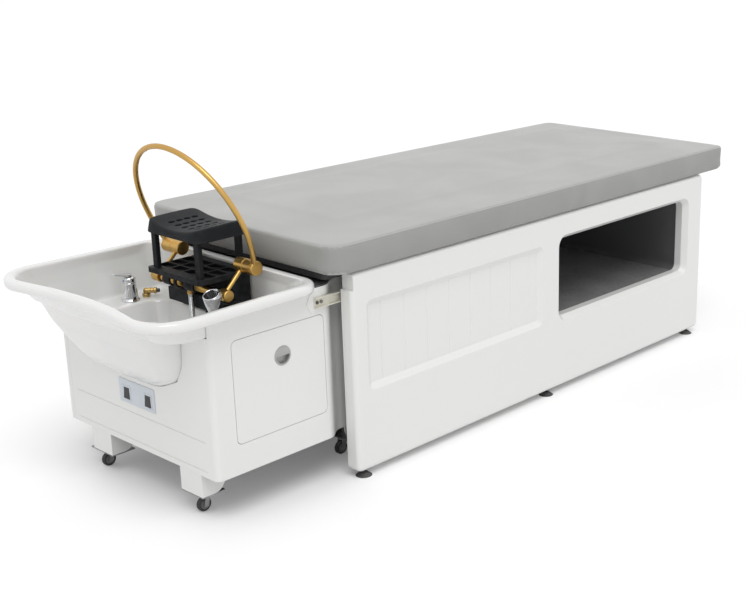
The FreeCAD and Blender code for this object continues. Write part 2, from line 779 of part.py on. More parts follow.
def niche_liner():
    """Dark box behind the niche's mouth, open to the near side."""
    back_y = -PANEL_BACK_Y
    outer = prism(niche_points(LINER_STEP + LINER_WALL), "xz", back_y, back_y + NICHE_DEPTH)
    end_y = back_y + NICHE_DEPTH - LINER_WALL
    return outer.cut(prism(niche_points(LINER_STEP), "xz", back_y - OVERRUN, end_y))


def niche_mat():
    """Thin mat on the floor of the niche, in two lengths that meet at a seam."""
    back_y = -PANEL_BACK_Y
    end_y = back_y + NICHE_DEPTH - LINER_WALL
    space = prism(niche_points(LINER_STEP - FIT), "xz", back_y + PLAY, end_y - PLAY)
    low_z = NICHE_BOTTOM_Z - LINER_STEP
    high_z = low_z + MAT_THICKNESS
    head, foot = PANEL_HEAD_X, PANEL_FOOT_X
    first = block(head, MAT_SEAM_X, -PANEL_Y, PANEL_Y, low_z, high_z).common(space)
    second = block(MAT_SEAM_X + MAT_SEAM_GAP, foot, -PANEL_Y, PANEL_Y, low_z, high_z).common(space)
    return group([first, second])


def side_frames():
    """Welded side frames inside both panels: two square rails and three slimmer uprights each."""
    outer, _ = rail_faces()
    base_z, top_z = frame_levels()
    head = PANEL_HEAD_X + UPRIGHT_FROM_END
    foot = PANEL_FOOT_X - UPRIGHT_FROM_END - PANEL_WALL
    pieces = [tube_x(head, foot, outer, base_z), tube_x(head, foot, outer, top_z - TUBE)]
    for x in upright_places():
        low_z = base_z + TUBE - TUBE_ROUND
        high_z = top_z - TUBE + TUBE_ROUND
        bend = TUBE_ROUND + UPRIGHT_STEP
        across = rectangle(x, x + TUBE, outer, outer + TUBE, bend, -UPRIGHT_STEP)
        pieces.append(prism(across, "xy", low_z, high_z))
    frame = fuse(pieces)
    return group([frame, mirrored(frame)])


def crossbars():
    """Tubes across the bed: three under the board and two near the floor."""
    _, inner = rail_faces()
    half = -inner
    base_z, top_z = frame_levels()
    _, middle, foot = upright_places()
    places = [(x, top_z - TUBE) for x in (CROSSBAR_HEAD_X, middle, foot)]
    places += [(x, base_z) for x in (CROSSBAR_HEAD_X, foot)]
    bars = []
    for x, z in places:
        bars.append(prism(rectangle(x, x + TUBE, z, z + TUBE, TUBE_ROUND), "xz", -half, half))
    return group(bars)


def foot_panel():
    """Plain board closing the foot of the bed between the side panels."""
    _, _, upright = upright_places()
    x = upright + TUBE
    low_z, high_z = frame_levels()
    half = PANEL_BACK_Y
    return block(x, x + FOOT_PANEL_THICKNESS, -half, half, low_z, high_z)


def levelling_feet():
    """Padded screw feet under the side frames."""
    outer, inner = rail_faces()
    top_z, _ = frame_levels()
    feet = []
    for side in (-1, 1):
        y = side * (outer + inner) / 2
        for x in foot_places():
            pad = Part.makeCone(FOOT_PAD_RADIUS, FOOT_STUD_RADIUS * 2, FOOT_PAD_HEIGHT, V(x, y, 0))
            stud = rod(V(x, y, FOOT_PAD_HEIGHT), V(0, 0, 1), FOOT_STUD_RADIUS, top_z - FOOT_PAD_HEIGHT)
            feet.append(fuse([pad, stud]))
    return group(feet)


def channel_web():
    """Outer face of the near channel's web."""
    return -CABINET_HALF_WIDTH - LINK_PLATE_THICKNESS - LINK_CHANNEL_WALL


def link_guides():
    """Guide blocks on the bed's frames that the wash unit's channels slide over."""
    _, inner = rail_faces()
    half = LINK_CHANNEL_HALF - LINK_CHANNEL_WALL - LINK_GUIDE_GAP
    head = PANEL_HEAD_X + UPRIGHT_FROM_END
    outer_y = inner - UPRIGHT_STEP
    inner_y = channel_web() - LINK_GUIDE_GAP
    guide = block(head, head + LINK_GUIDE_LENGTH, outer_y, inner_y, LINK_Z - half, LINK_Z + half)
    return group([guide, mirrored(guide)])


def cabinet_outline(z, inset=0.0):
    """Plan of the wash cabinet: rounded front corners, sides that step in before the bed panels."""
    wide = CABINET_HALF_WIDTH
    narrow = CABINET_NARROW_HALF
    near = (
        (CABINET_FRONT_X, -wide, CABINET_CORNER_RADIUS),
        (CABINET_BEND_X, -wide, CABINET_BEND_RADIUS),
        (CABINET_BEND_END_X, -narrow, CABINET_BEND_RADIUS),
        (CABINET_REAR_X, -narrow, CABINET_REAR_RADIUS),
    )
    far = tuple((x, -y, radius) for x, y, radius in reversed(near))
    wire = outline(near + far, "xy", z)
    if inset > 0:
        return wire.makeOffset2D(-inset)
    return wire


def cabinet_solid(low_z, high_z, inset=0.0):
    """Solid of the cabinet's plan between two heights."""
    return extruded(cabinet_outline(low_z, inset), V(0, 0, high_z - low_z))


def cabinet_ring():
    """Upright walls of the cabinet all round."""
    outer = cabinet_solid(CABINET_BOTTOM_Z, CABINET_TOP_Z)
    return outer.cut(cabinet_solid(CABINET_BOTTOM_Z - OVERRUN, CABINET_TOP_Z + OVERRUN, CABINET_WALL))


def cabinet_zone(x0, x1, y0, y1):
    """Tall box that picks out part of the cabinet's walls."""
    return block(x0, x1, y0, y1, CABINET_BOTTOM_Z - OVERRUN, CABINET_TOP_Z + OVERRUN)


def front_edges():
    """Where the front panel meets the two sides, across the front."""
    near = -CABINET_HALF_WIDTH + CABINET_CORNER_RADIUS
    far = CABINET_HALF_WIDTH - FRONT_FLANGE_FAR
    return near, far


def cabinet_front_panel(basin_space):
    """Front panel with the cut-out for the bowl, the switch openings and the long shallow grooves."""
    near, far = front_edges()
    front = CABINET_FRONT_X
    panel = cabinet_ring().common(cabinet_zone(front, front + CABINET_WALL, near, far - CABINET_SEAM))
    panel = panel.cut(basin_space)
    for y in SWITCH_Y:
        half_width = SWITCH_WIDTH / 2
        half_height = SWITCH_HEIGHT / 2
        hole = block(
            front - OVERRUN, front + OVERRUN, y - half_width, y + half_width,
            SWITCH_Z - half_height, SWITCH_Z + half_height,
        )
        panel = panel.cut(hole)
    for z in (FRONT_GROOVE_LOW_Z, FRONT_GROOVE_MID_Z):
        groove = block(
            front - OVERRUN, front + FRONT_GROOVE_DEPTH,
            near + FRONT_GROOVE_MARGIN, far - FRONT_GROOVE_MARGIN,
            z - FRONT_GROOVE_HALF, z + FRONT_GROOVE_HALF,
        )
        panel = panel.cut(groove)
    return panel


def door_outline(grow):
    """Outline of the door, or of its opening when grown by the gap."""
    return rectangle(DOOR_HEAD_X, DOOR_FOOT_X, DOOR_BOTTOM_Z, DOOR_TOP_Z, DOOR_RADIUS, grow)


def door_pins(radius):
    """The two hinge pins at the bottom edge of the door."""
    y = -CABINET_HALF_WIDTH + CABINET_WALL / 2
    z = DOOR_BOTTOM_Z + DOOR_PIN_UP
    long = DOOR_PIN_INSIDE + DOOR_GAP + DOOR_PIN_REACH
    head = rod(V(DOOR_HEAD_X + DOOR_PIN_INSIDE - long, y, z), V(1, 0, 0), radius, long)
    foot = rod(V(DOOR_FOOT_X - DOOR_PIN_INSIDE, y, z), V(1, 0, 0), radius, long)
    return head, foot


def cabinet_near_side(basin_space):
    """Near side with the front corner, the door's opening and the holes for its hinge pins."""
    near, _ = front_edges()
    front = CABINET_FRONT_X
    rear = CABINET_REAR_X - CABINET_REAR_RADIUS
    wall = cabinet_ring().common(cabinet_zone(front, rear, -CABINET_HALF_WIDTH, -CABINET_CORNER_RADIUS))
    wall = wall.cut(cabinet_zone(front - OVERRUN, front + 2 * CABINET_WALL, near, 0))
    wall_y = -CABINET_HALF_WIDTH
    wall = wall.cut(prism(door_outline(DOOR_GAP), "xz", wall_y - OVERRUN, wall_y + OVERRUN))
    for pin in door_pins(DOOR_PIN_RADIUS + FIT):
        wall = wall.cut(pin)
    for hole in link_screw_holes():
        wall = wall.cut(hole)
    return wall.cut(basin_space)


def cabinet_far_side(basin_space):
    """Far side with the flange that the front panel butts against."""
    _, far = front_edges()
    front = CABINET_FRONT_X
    rear = CABINET_REAR_X - CABINET_REAR_RADIUS
    wall = cabinet_ring().common(cabinet_zone(front, rear, CABINET_CORNER_RADIUS, CABINET_HALF_WIDTH))
    wall = wall.cut(cabinet_zone(front - OVERRUN, front + 2 * CABINET_WALL, 0, far))
    for hole in link_screw_holes():
        wall = wall.cut(mirrored(hole))
    return wall.cut(basin_space)


def cabinet_back_panel():
    """Back wall with its two corners."""
    rear = CABINET_REAR_X
    half = CABINET_HALF_WIDTH
    return cabinet_ring().common(cabinet_zone(rear - CABINET_REAR_RADIUS, rear, -half, half))


def cabinet_base_pan():
    """Bottom plate inside the walls."""
    return cabinet_solid(CABINET_BOTTOM_Z, CABINET_BOTTOM_Z + BASE_PAN_THICKNESS, CABINET_WALL)


def cabinet_top_plate():
    """Plate on the walls behind the basin, under the head of the mattress."""
    plate = cabinet_solid(CABINET_TOP_Z, CABINET_TOP_Z + TOP_PLATE_THICKNESS)
    start = RIM_REAR_X + TOP_PLATE_GAP
    return plate.common(cabinet_zone(start, CABINET_REAR_X, -CABINET_HALF_WIDTH, CABINET_HALF_WIDTH))


def bowl_outline(values, z, grow=0.0):
    """Outline with a swept front: (front, belly, rear, near, far, radius), grown on every side."""
    front, belly, rear, near, far, radius = values
    bend = radius + grow
    points = (
        (rear + grow, near - grow, bend),
        (front - grow, near - grow, bend),
        (front - belly - grow, (near + far) / 2, FRONT_SWEEP_RADIUS),
        (front - grow, far + grow, bend),
        (rear + grow, far + grow, bend),
    )
    return outline(points, "xy", z)


def bowl_wires(low, high, low_z, high_z, shares, grow=0.0):
    """Outlines between two levels, one for each row of shares."""
    wires = []
    for row in shares:
        level, front, rear, near, far, radius = row
        each = (front, level, rear, near, far, radius)
        values = [blend(a, b, share) for a, b, share in zip(low, high, each)]
        wires.append(bowl_outline(values, blend(low_z, high_z, level), grow))
    return wires


def bowl_loft(low, high, low_z, high_z, shares, grow=0.0):
    """Solid through the outlines between two levels."""
    return loft(bowl_wires(low, high, low_z, high_z, shares, grow))


def straight_shares():
    """Shares of a loft that only has its two end outlines."""
    return [[0.0] * len(BOWL_LOW), [1.0] * len(BOWL_LOW)]


def rim_outline(z, inset):
    """Outline of the rim, inset on every side."""
    front = RIM_FRONT_RADIUS - inset
    rear = RIM_REAR_RADIUS - inset
    points = (
        (RIM_REAR_X - inset, RIM_TAPER - RIM_NEAR_Y + inset, rear),
        (RIM_LOBE_X + RIM_LOBE_STEP + inset, inset - RIM_NEAR_Y, front),
        (RIM_MID_X + inset, RIM_MID_Y, FRONT_SWEEP_RADIUS),
        (RIM_LOBE_X + inset, RIM_FAR_Y - inset, front),
        (RIM_REAR_X - inset, RIM_FAR_Y - RIM_TAPER - inset, rear),
    )
    return outline(points, "xy", z)


def basin_body(grow):
    """Bowl and skirt, filled; grown, the space that the cabinet's walls leave for them."""
    bowl = bowl_loft(BOWL_LOW, BOWL_HIGH, BOWL_BOTTOM_Z, SKIRT_BOTTOM_Z, BOWL_SHARES, grow)
    skirt = bowl_loft(SKIRT_LOW, SKIRT_HIGH, SKIRT_BOTTOM_Z - grow, CABINET_TOP_Z, straight_shares(), grow)
    return bowl.fuse(skirt)


def basin():
    """One-piece basin: bowl, deck, skirt and rolled rim, with the drain hole in the bowl's floor."""
    rim = extruded(rim_outline(CABINET_TOP_Z, 0.0), V(0, 0, RIM_TOP_Z - CABINET_TOP_Z))
    levels = (CABINET_TOP_Z, RIM_TOP_Z)
    rim = round_edges(rim, RIM_ROLL, lambda edge: any(lies_at(edge, "z", z) for z in levels))
    flare = bowl_loft(FLARE_LOW, FLARE_HIGH, CABINET_TOP_Z, FLARE_TOP_Z, straight_shares())
    body = basin_body(0.0).fuse(flare).fuse(rim)
    low = bowl_outline(TRAY_HIGH, CABINET_TOP_Z - MOUTH_LAP, -MOUTH_LAP)
    mouth = loft([low, rim_outline(RIM_TOP_Z + SPACE_LAP, RIM_WIDTH)])
    tray = bowl_loft(TRAY_LOW, TRAY_HIGH, DECK_Z, CABINET_TOP_Z, TRAY_SHARES)
    well = bowl_loft(WELL_LOW, WELL_HIGH, BOWL_FLOOR_Z, DECK_Z + SPACE_LAP, WELL_SHARES)
    body = body.cut(mouth).cut(tray).cut(well)
    return body.cut(drain_rod(OUTLET_TAIL_RADIUS + PLAY, BOWL_BOTTOM_Z - OVERRUN, BOWL_FLOOR_Z + OVERRUN))


def drain_rod(radius, low_z, high_z):
    """Upright cylinder on the drain's axis."""
    return rod(V(DRAIN_X, DRAIN_Y, low_z), V(0, 0, 1), radius, high_z - low_z)


def waste_outlet():
    """Flanged outlet in the bowl's floor, with its tail below."""
    top = BOWL_FLOOR_Z + OUTLET_FLANGE_THICKNESS
    flange = drain_rod(OUTLET_FLANGE_RADIUS, BOWL_FLOOR_Z, top)
    tail = drain_rod(OUTLET_TAIL_RADIUS, OUTLET_TAIL_BOTTOM_Z, BOWL_FLOOR_Z)
    bore = drain_rod(OUTLET_TAIL_RADIUS - OUTLET_WALL, OUTLET_TAIL_BOTTOM_Z - OVERRUN, top + OVERRUN)
    return fuse([flange, tail]).cut(bore)


def drain_strainer():
    """Strainer that lies on the outlet's flange, with a ring of holes and a knob to lift it."""
    seat = BOWL_FLOOR_Z + OUTLET_FLANGE_THICKNESS + SEAT_GAP
    disc = drain_rod(STRAINER_RADIUS, seat, seat + STRAINER_THICKNESS)
    cup = drain_rod(STRAINER_CUP_RADIUS, seat - STRAINER_CUP_DEPTH, seat)
    inner = STRAINER_CUP_RADIUS - STRAINER_THICKNESS
    hollow = drain_rod(inner, seat - STRAINER_CUP_DEPTH + STRAINER_THICKNESS, seat + OVERRUN)
    knob = drain_rod(STRAINER_KNOB_RADIUS, seat - STRAINER_CUP_DEPTH, seat + STRAINER_KNOB_HEIGHT)
    strainer = fuse([disc, cup]).cut(hollow)
    strainer = fuse([strainer, knob])
    for i in range(STRAINER_HOLES):
        turn = 2 * math.pi * i / STRAINER_HOLES
        x = DRAIN_X + STRAINER_HOLE_RING * math.cos(turn)
        y = DRAIN_Y + STRAINER_HOLE_RING * math.sin(turn)
        start = V(x, y, seat - STRAINER_CUP_DEPTH - OVERRUN)
        strainer = strainer.cut(rod(start, V(0, 0, 1), STRAINER_HOLE_RADIUS, 2 * OVERRUN))
    return strainer


def tube_path(points):
    """Wire of straight runs joined by tangent arcs through the points."""
    places = [V(*point) for point in points]
    bends = []
    for i in range(1, len(places) - 1):
        before, here, after = places[i - 1], places[i], places[i + 1]
        turn = math.pi - (before - here).getAngle(after - here)
        shorter = min((before - here).Length, (after - here).Length)
        bends.append(corner(before, here, after, HOSE_ARC_SHARE * shorter / math.tan(turn / 2)))
    edges = []
    start = places[0]
    for arc in bends:
        edges.append(Part.LineSegment(start, arc[0]).toShape())
        edges.append(Part.Arc(*arc).toShape())
        start = arc[2]
    edges.append(Part.LineSegment(start, places[-1]).toShape())
    return Part.Wire(edges)


def swept(path, radius):
    """Round solid along a wire."""
    first = path.Edges[0]
    start = first.valueAt(first.FirstParameter)
    way = first.tangentAt(first.FirstParameter)
    circle = Part.Wire(Part.Circle(start, way, radius).toShape())
    return path.makePipeShell([circle], True, True)


def waste_pipe():
    """Pipe from the outlet's tail down and back to the tank."""
    route = (
        (DRAIN_X, DRAIN_Y, OUTLET_TAIL_BOTTOM_Z),
        (DRAIN_X, DRAIN_Y, PIPE_LEVEL_Z),
        (TANK_FRONT_X, DRAIN_Y, PIPE_LEVEL_Z),
    )
    path = tube_path(route)
    return swept(path, PIPE_RADIUS).cut(swept(path, PIPE_RADIUS - OUTLET_WALL))


def water_tank():
    """Tank for the circulated water, on the base pan behind the bowl."""
    base = CABINET_BOTTOM_Z + BASE_PAN_THICKNESS
    half = TANK_WIDTH / 2
    points = rectangle(TANK_FRONT_X, TANK_FRONT_X + TANK_LENGTH, -half, half, TANK_ROUND)
    body = prism(points, "xy", base, base + TANK_HEIGHT)
    top = V(TANK_FRONT_X + TANK_LENGTH / 2, 0, base + TANK_HEIGHT)
    cap = rod(top, V(0, 0, 1), TANK_CAP_RADIUS, TANK_CAP_HEIGHT)
    return fuse([body, cap])


def circulation_pump():
    """Pump on the base pan: motor, pump head and foot."""
    base = CABINET_BOTTOM_Z + BASE_PAN_THICKNESS
    axis_z = base + PUMP_CLEAR + PUMP_RADIUS
    motor = rod(V(PUMP_X, PUMP_Y, axis_z), V(1, 0, 0), PUMP_RADIUS, PUMP_LENGTH)
    head = rod(V(PUMP_X + PUMP_LENGTH, PUMP_Y, axis_z), V(1, 0, 0), PUMP_HEAD_RADIUS, PUMP_HEAD_LENGTH)
    half = PUMP_FOOT_WIDTH / 2
    foot = block(PUMP_X, PUMP_X + PUMP_LENGTH, PUMP_Y - half, PUMP_Y + half, base, axis_z)
    return fuse([motor, head, foot])


def switch_box(x0, x1, y, margin):
    """Box of a switch opening's outline between two depths, less the margin on every side."""
    half_width = SWITCH_WIDTH / 2 - margin
    half_height = SWITCH_HEIGHT / 2 - margin
    return block(x0, x1, y - half_width, y + half_width, SWITCH_Z - half_height, SWITCH_Z + half_height)


def rocker_pivot_x():
    """Depth of the rockers' pivots."""
    return CABINET_FRONT_X + ROCKER_PIVOT_BACK


def control_plate():
    """Plate on the front panel with a bezel and a switch housing for each rocker."""
    front = CABINET_FRONT_X
    points = rectangle(PLATE_NEAR_Y, PLATE_FAR_Y, PLATE_BOTTOM_Z, PLATE_TOP_Z, PLATE_RADIUS)
    plate = prism(points, "yz", front - PLATE_THICKNESS, front)
    pieces = [plate]
    for y in SWITCH_Y:
        pieces.append(switch_box(front - PLATE_THICKNESS, front + SWITCH_DEPTH, y, FIT))
        pieces.append(switch_box(front - PLATE_THICKNESS - SWITCH_BEZEL / 2, front, y, -SWITCH_BEZEL))
    body = fuse(pieces)
    pivot = rocker_pivot_x()
    for y in SWITCH_Y:
        body = body.cut(switch_box(front - OVERRUN, front + SWITCH_DEPTH - SWITCH_WALL, y, SWITCH_WALL))
        half = SWITCH_WIDTH / 2 - SWITCH_WALL + ROCKER_PIN_REACH + FIT
        body = body.cut(bar_y(pivot, SWITCH_Z, ROCKER_PIN_RADIUS + FIT, y - half, y + half))
    return body


def rocker(y):
    """Rocker of one switch on its pivot pins, lying in its off position."""
    pivot = rocker_pivot_x()
    front = CABINET_FRONT_X - PLATE_THICKNESS - ROCKER_PROUD
    body = switch_box(front, front + ROCKER_DEPTH, y, SWITCH_WALL + ROCKER_GAP)
    half = SWITCH_WIDTH / 2 - SWITCH_WALL + ROCKER_PIN_REACH - FIT
    pins = bar_y(pivot, SWITCH_Z, ROCKER_PIN_RADIUS, y - half, y + half)
    whole = fuse([body, pins])
    whole.rotate(V(pivot, y, SWITCH_Z), V(0, 1, 0), ROCKER_TILT)
    return whole


def bracket(face_x, way, low_y):
    """Folded leg bracket: one flange across, one along with its free lower corner rounded off."""
    thick = BRACKET_PLATE
    low, high = BRACKET_BOTTOM_Z, CABINET_BOTTOM_Z
    end = face_x + BRACKET_RUN
    curve = BRACKET_CURVE
    across = block(face_x, face_x + thick, low_y, low_y + BRACKET_WIDTH, low, high)
    along = block(face_x, end, low_y, low_y + thick, low, high)
    corner_block = block(end - curve, end, low_y, low_y + thick, low, low + curve)
    along = along.cut(corner_block.cut(bar_y(end - curve, low + curve, curve, low_y, low_y + thick)))
    whole = fuse([across, along])
    if way < 0:
        whole = whole.mirror(V(face_x, 0, 0), V(1, 0, 0))
    return whole


def caster_sites():
    """Name, swivel axis and bracket of each caster: (name, x, y, bracket face, way, bracket side)."""
    inset = BRACKET_SETBACK
    front_face = CABINET_FRONT_X + inset
    rear_x = CASTER_REAR_X + CASTER_TRAIL
    front_x = CASTER_FRONT_X + CASTER_TRAIL
    rear_face = rear_x + (front_x - front_face)
    return (
        ("near_front", front_x, -CASTER_Y, front_face, 1, BRACKET_NEAR_Y),
        ("far_front", front_x, CASTER_Y, front_face, 1, BRACKET_FAR_Y),
        ("near_rear", rear_x, -CASTER_Y, rear_face, -1, BRACKET_NEAR_Y),
        ("far_rear", rear_x, CASTER_Y, rear_face, -1, BRACKET_FAR_Y),
    )


def leg_brackets():
    """Four folded brackets under the cabinet."""
    return group([bracket(face, way, low_y) for _, _, _, face, way, low_y in caster_sites()])


def caster_plates():
    """Plates under the brackets, each with the bearing of its caster's swivel."""
    plates = []
    high = BRACKET_BOTTOM_Z
    low = high - CASTER_PLATE_THICKNESS
    for _, x, y, face, way, low_y in caster_sites():
        edge = x + way * CASTER_PLATE_HALF
        near = min(low_y, y - CASTER_PLATE_HALF)
        far = max(low_y + BRACKET_WIDTH, y + CASTER_PLATE_HALF)
        plate = block(min(face, edge), max(face, edge), near, far, low, high)
        bearing = rod(V(x, y, CROWN_TOP_Z + PLAY), V(0, 0, 1), SWIVEL_RADIUS, low - CROWN_TOP_Z - PLAY)
        hole = rod(V(x, y, CROWN_TOP_Z), V(0, 0, 1), SWIVEL_STEM_RADIUS + FIT, OVERRUN)
        plates.append(fuse([plate, bearing]).cut(hole))
    return group(plates)


def caster_fork(x, y):
    """Fork with its swivel stem and axle; the wheel trails towards the head."""
    wheel_x = x - CASTER_TRAIL
    inner = HUB_HALF_WIDTH + FORK_GAP
    outer = inner + FORK_PLATE
    crown = rod(V(x, y, CROWN_BOTTOM_Z), V(0, 0, 1), CROWN_RADIUS, CROWN_TOP_Z - CROWN_BOTTOM_Z)
    stem = rod(V(x, y, CROWN_TOP_Z), V(0, 0, 1), SWIVEL_STEM_RADIUS, BRACKET_BOTTOM_Z - CROWN_TOP_Z)
    axle = bar_y(wheel_x, WHEEL_RADIUS, AXLE_RADIUS, y - outer, y + outer)
    points = (
        (wheel_x - FORK_EYE, WHEEL_RADIUS - FORK_EYE, FORK_EYE / 2),
        (wheel_x + FORK_EYE, WHEEL_RADIUS - FORK_EYE, FORK_EYE / 2),
        (x + FORK_EYE, CROWN_BOTTOM_Z + FORK_PLATE, FORK_PLATE / 2),
        (x - CASTER_TRAIL, CROWN_BOTTOM_Z + FORK_PLATE, FORK_PLATE / 2),
    )
    near = prism(points, "xz", y - outer, y - inner)
    far = prism(points, "xz", y + inner, y + outer)
    return fuse([crown, stem, axle, near, far])


def caster_tyre(x, y):
    """Rubber tyre."""
    wheel_x = x - CASTER_TRAIL
    half = TYRE_HALF_WIDTH
    tyre = bar_y(wheel_x, WHEEL_RADIUS, WHEEL_RADIUS, y - half, y + half)
    tyre = round_edges(tyre, TYRE_ROUND, lambda edge: edge.Curve.TypeId == "Part::GeomCircle")
    return tyre.cut(bar_y(wheel_x, WHEEL_RADIUS, HUB_RADIUS, y - OVERRUN, y + OVERRUN))


def caster_hub(x, y):
    """Hub that turns on the axle."""
    wheel_x = x - CASTER_TRAIL
    hub = bar_y(wheel_x, WHEEL_RADIUS, HUB_RADIUS, y - HUB_HALF_WIDTH, y + HUB_HALF_WIDTH)
    return hub.cut(bar_y(wheel_x, WHEEL_RADIUS, AXLE_RADIUS + FIT, y - OVERRUN, y + OVERRUN))


def link_screw_holes():
    """Shanks of the near link's screws, through channel, plate and wall."""
    holes = []
    for x in LINK_SCREW_X:
        start = V(x, channel_web() - PLAY, LINK_Z)
        holes.append(rod(start, V(0, 1, 0), LINK_SCREW_RADIUS, PLAY + link_screw_length()))
    return holes


def link_screw_length():
    """Length of a link screw's shank."""
    return LINK_CHANNEL_WALL + LINK_PLATE_THICKNESS + CABINET_WALL


def link_plates():
    """Six-sided plate on each side of the cabinet."""
    head = LINK_PLATE_X
    foot = head + LINK_PLATE_LENGTH
    point = LINK_PLATE_POINT
    low, high = LINK_Z - LINK_PLATE_HALF, LINK_Z + LINK_PLATE_HALF
    bend = LINK_PLATE_THICKNESS
    points = (
        (head + point, low, bend),
        (foot - point, low, bend),
        (foot, LINK_Z, bend),
        (foot - point, high, bend),
        (head + point, high, bend),
        (head, LINK_Z, bend),
    )
    wall_y = -CABINET_HALF_WIDTH
    plate = prism(points, "xz", wall_y - LINK_PLATE_THICKNESS, wall_y)
    for hole in link_screw_holes():
        plate = plate.cut(hole)
    return group([plate, mirrored(plate)])


def link_channels():
    """Channel on each plate, open outward, that slides over the bed's guide block."""
    base = channel_web() + LINK_CHANNEL_WALL
    edge = base - LINK_CHANNEL_DEPTH
    half = LINK_CHANNEL_HALF
    inner = half - LINK_CHANNEL_WALL
    outer_box = block(LINK_CHANNEL_HEAD_X, LINK_CHANNEL_FOOT_X, edge, base, LINK_Z - half, LINK_Z + half)
    inner_box = block(
        LINK_CHANNEL_HEAD_X - OVERRUN, LINK_CHANNEL_FOOT_X + OVERRUN, edge - OVERRUN, channel_web(),
        LINK_Z - inner, LINK_Z + inner,
    )
    channel = outer_box.cut(inner_box)
    for hole in link_screw_holes():
        channel = channel.cut(hole)
    return group([channel, mirrored(channel)])


def link_screws():
    """Screws that hold the channels and plates."""
    screws = []
    for x in LINK_SCREW_X:
        shank = rod(V(x, channel_web(), LINK_Z), V(0, 1, 0), LINK_SCREW_RADIUS, link_screw_length())
        top = V(x, channel_web() - LINK_SCREW_HEAD, LINK_Z)
        head = rod(top, V(0, 1, 0), LINK_SCREW_HEAD_RADIUS, LINK_SCREW_HEAD)
        screw = fuse([shank, head])
        screws.append(screw)
        screws.append(mirrored(screw))
    return group(screws)


def door_panel():
    """Door in the near side, hinged on two pins at its bottom edge."""
    wall_y = -CABINET_HALF_WIDTH
    door = prism(door_outline(0.0), "xz", wall_y, wall_y + CABINET_WALL)
    door = fuse([door, *door_pins(DOOR_PIN_RADIUS)])
    hole = rod(V(PULL_X, wall_y - OVERRUN, PULL_Z), V(0, 1, 0), PULL_BODY_RADIUS + FIT, 2 * OVERRUN)
    return door.cut(hole)


def door_pull():
    """Recessed pull: flat upper half, finger cup in the lower half."""
    wall_y = -CABINET_HALF_WIDTH
    face_y = wall_y - PULL_PROUD
    flange = rod(V(PULL_X, face_y, PULL_Z), V(0, 1, 0), PULL_RADIUS, PULL_PROUD)
    body = rod(V(PULL_X, wall_y, PULL_Z), V(0, 1, 0), PULL_BODY_RADIUS, PULL_DEPTH)
    deep = PULL_PROUD + PULL_DEPTH - PULL_WALL
    cup = rod(V(PULL_X, face_y - OVERRUN, PULL_Z), V(0, 1, 0), PULL_CUP_RADIUS, OVERRUN + deep)
    reach = PULL_RADIUS
    head, foot = PULL_X - reach, PULL_X + reach
    upper = block(head, foot, face_y - 2 * OVERRUN, wall_y + OVERRUN, PULL_Z, PULL_Z + reach)
    return fuse([flange, body]).cut(cup.cut(upper))


def tap_top():
    """Level of the top of the tap's body."""
    return DECK_Z + TAP_FLANGE_HEIGHT + TAP_BODY_HEIGHT


def lever_pivot_z():
    """Level of the lever's pin."""
    return tap_top() + PLAY + TAP_HEAD_HEIGHT - LEVER_TONGUE_RADIUS


def tap_base():
    """Tap body on the basin's deck, with the bore for the head's stem."""
    flange = rod(V(TAP_X, TAP_Y, DECK_Z), V(0, 0, 1), TAP_FLANGE_RADIUS, TAP_FLANGE_HEIGHT)
    start = V(TAP_X, TAP_Y, DECK_Z + TAP_FLANGE_HEIGHT)
    body = Part.makeCone(TAP_BODY_LOW_RADIUS, TAP_BODY_HIGH_RADIUS, TAP_BODY_HEIGHT, start)
    deep = TAP_STEM_DEPTH + PLAY
    bore = rod(V(TAP_X, TAP_Y, tap_top() - deep), V(0, 0, 1), TAP_STEM_RADIUS + FIT, deep + OVERRUN)
    return fuse([flange, body]).cut(bore)


def tap_head():
    """Turning head with the slot and pin holes of the lever."""
    low = tap_top() + PLAY
    head = rod(V(TAP_X, TAP_Y, low), V(0, 0, 1), TAP_BODY_HIGH_RADIUS, TAP_HEAD_HEIGHT)
    top = low + TAP_HEAD_HEIGHT
    head = round_edges(head, TAP_HEAD_ROUND, lambda edge: lies_at(edge, "z", top))
    start = V(TAP_X, TAP_Y, tap_top() - TAP_STEM_DEPTH)
    stem = rod(start, V(0, 0, 1), TAP_STEM_RADIUS, TAP_STEM_DEPTH + 2 * PLAY)
    whole = fuse([head, stem])
    half = LEVER_TONGUE_WIDTH / 2 + PLAY
    reach = LEVER_TONGUE_RADIUS + LEVER_SLOT_REACH
    floor = lever_pivot_z() - LEVER_TONGUE_RADIUS - 2 * PLAY
    slot = block(TAP_X - reach, TAP_X + reach, TAP_Y - half, TAP_Y + half, floor, top + OVERRUN)
    pin_half = LEVER_PIN_HALF + PLAY
    pin = bar_y(TAP_X, lever_pivot_z(), LEVER_PIN_RADIUS + FIT, TAP_Y - pin_half, TAP_Y + pin_half)
    return whole.cut(slot).cut(pin)


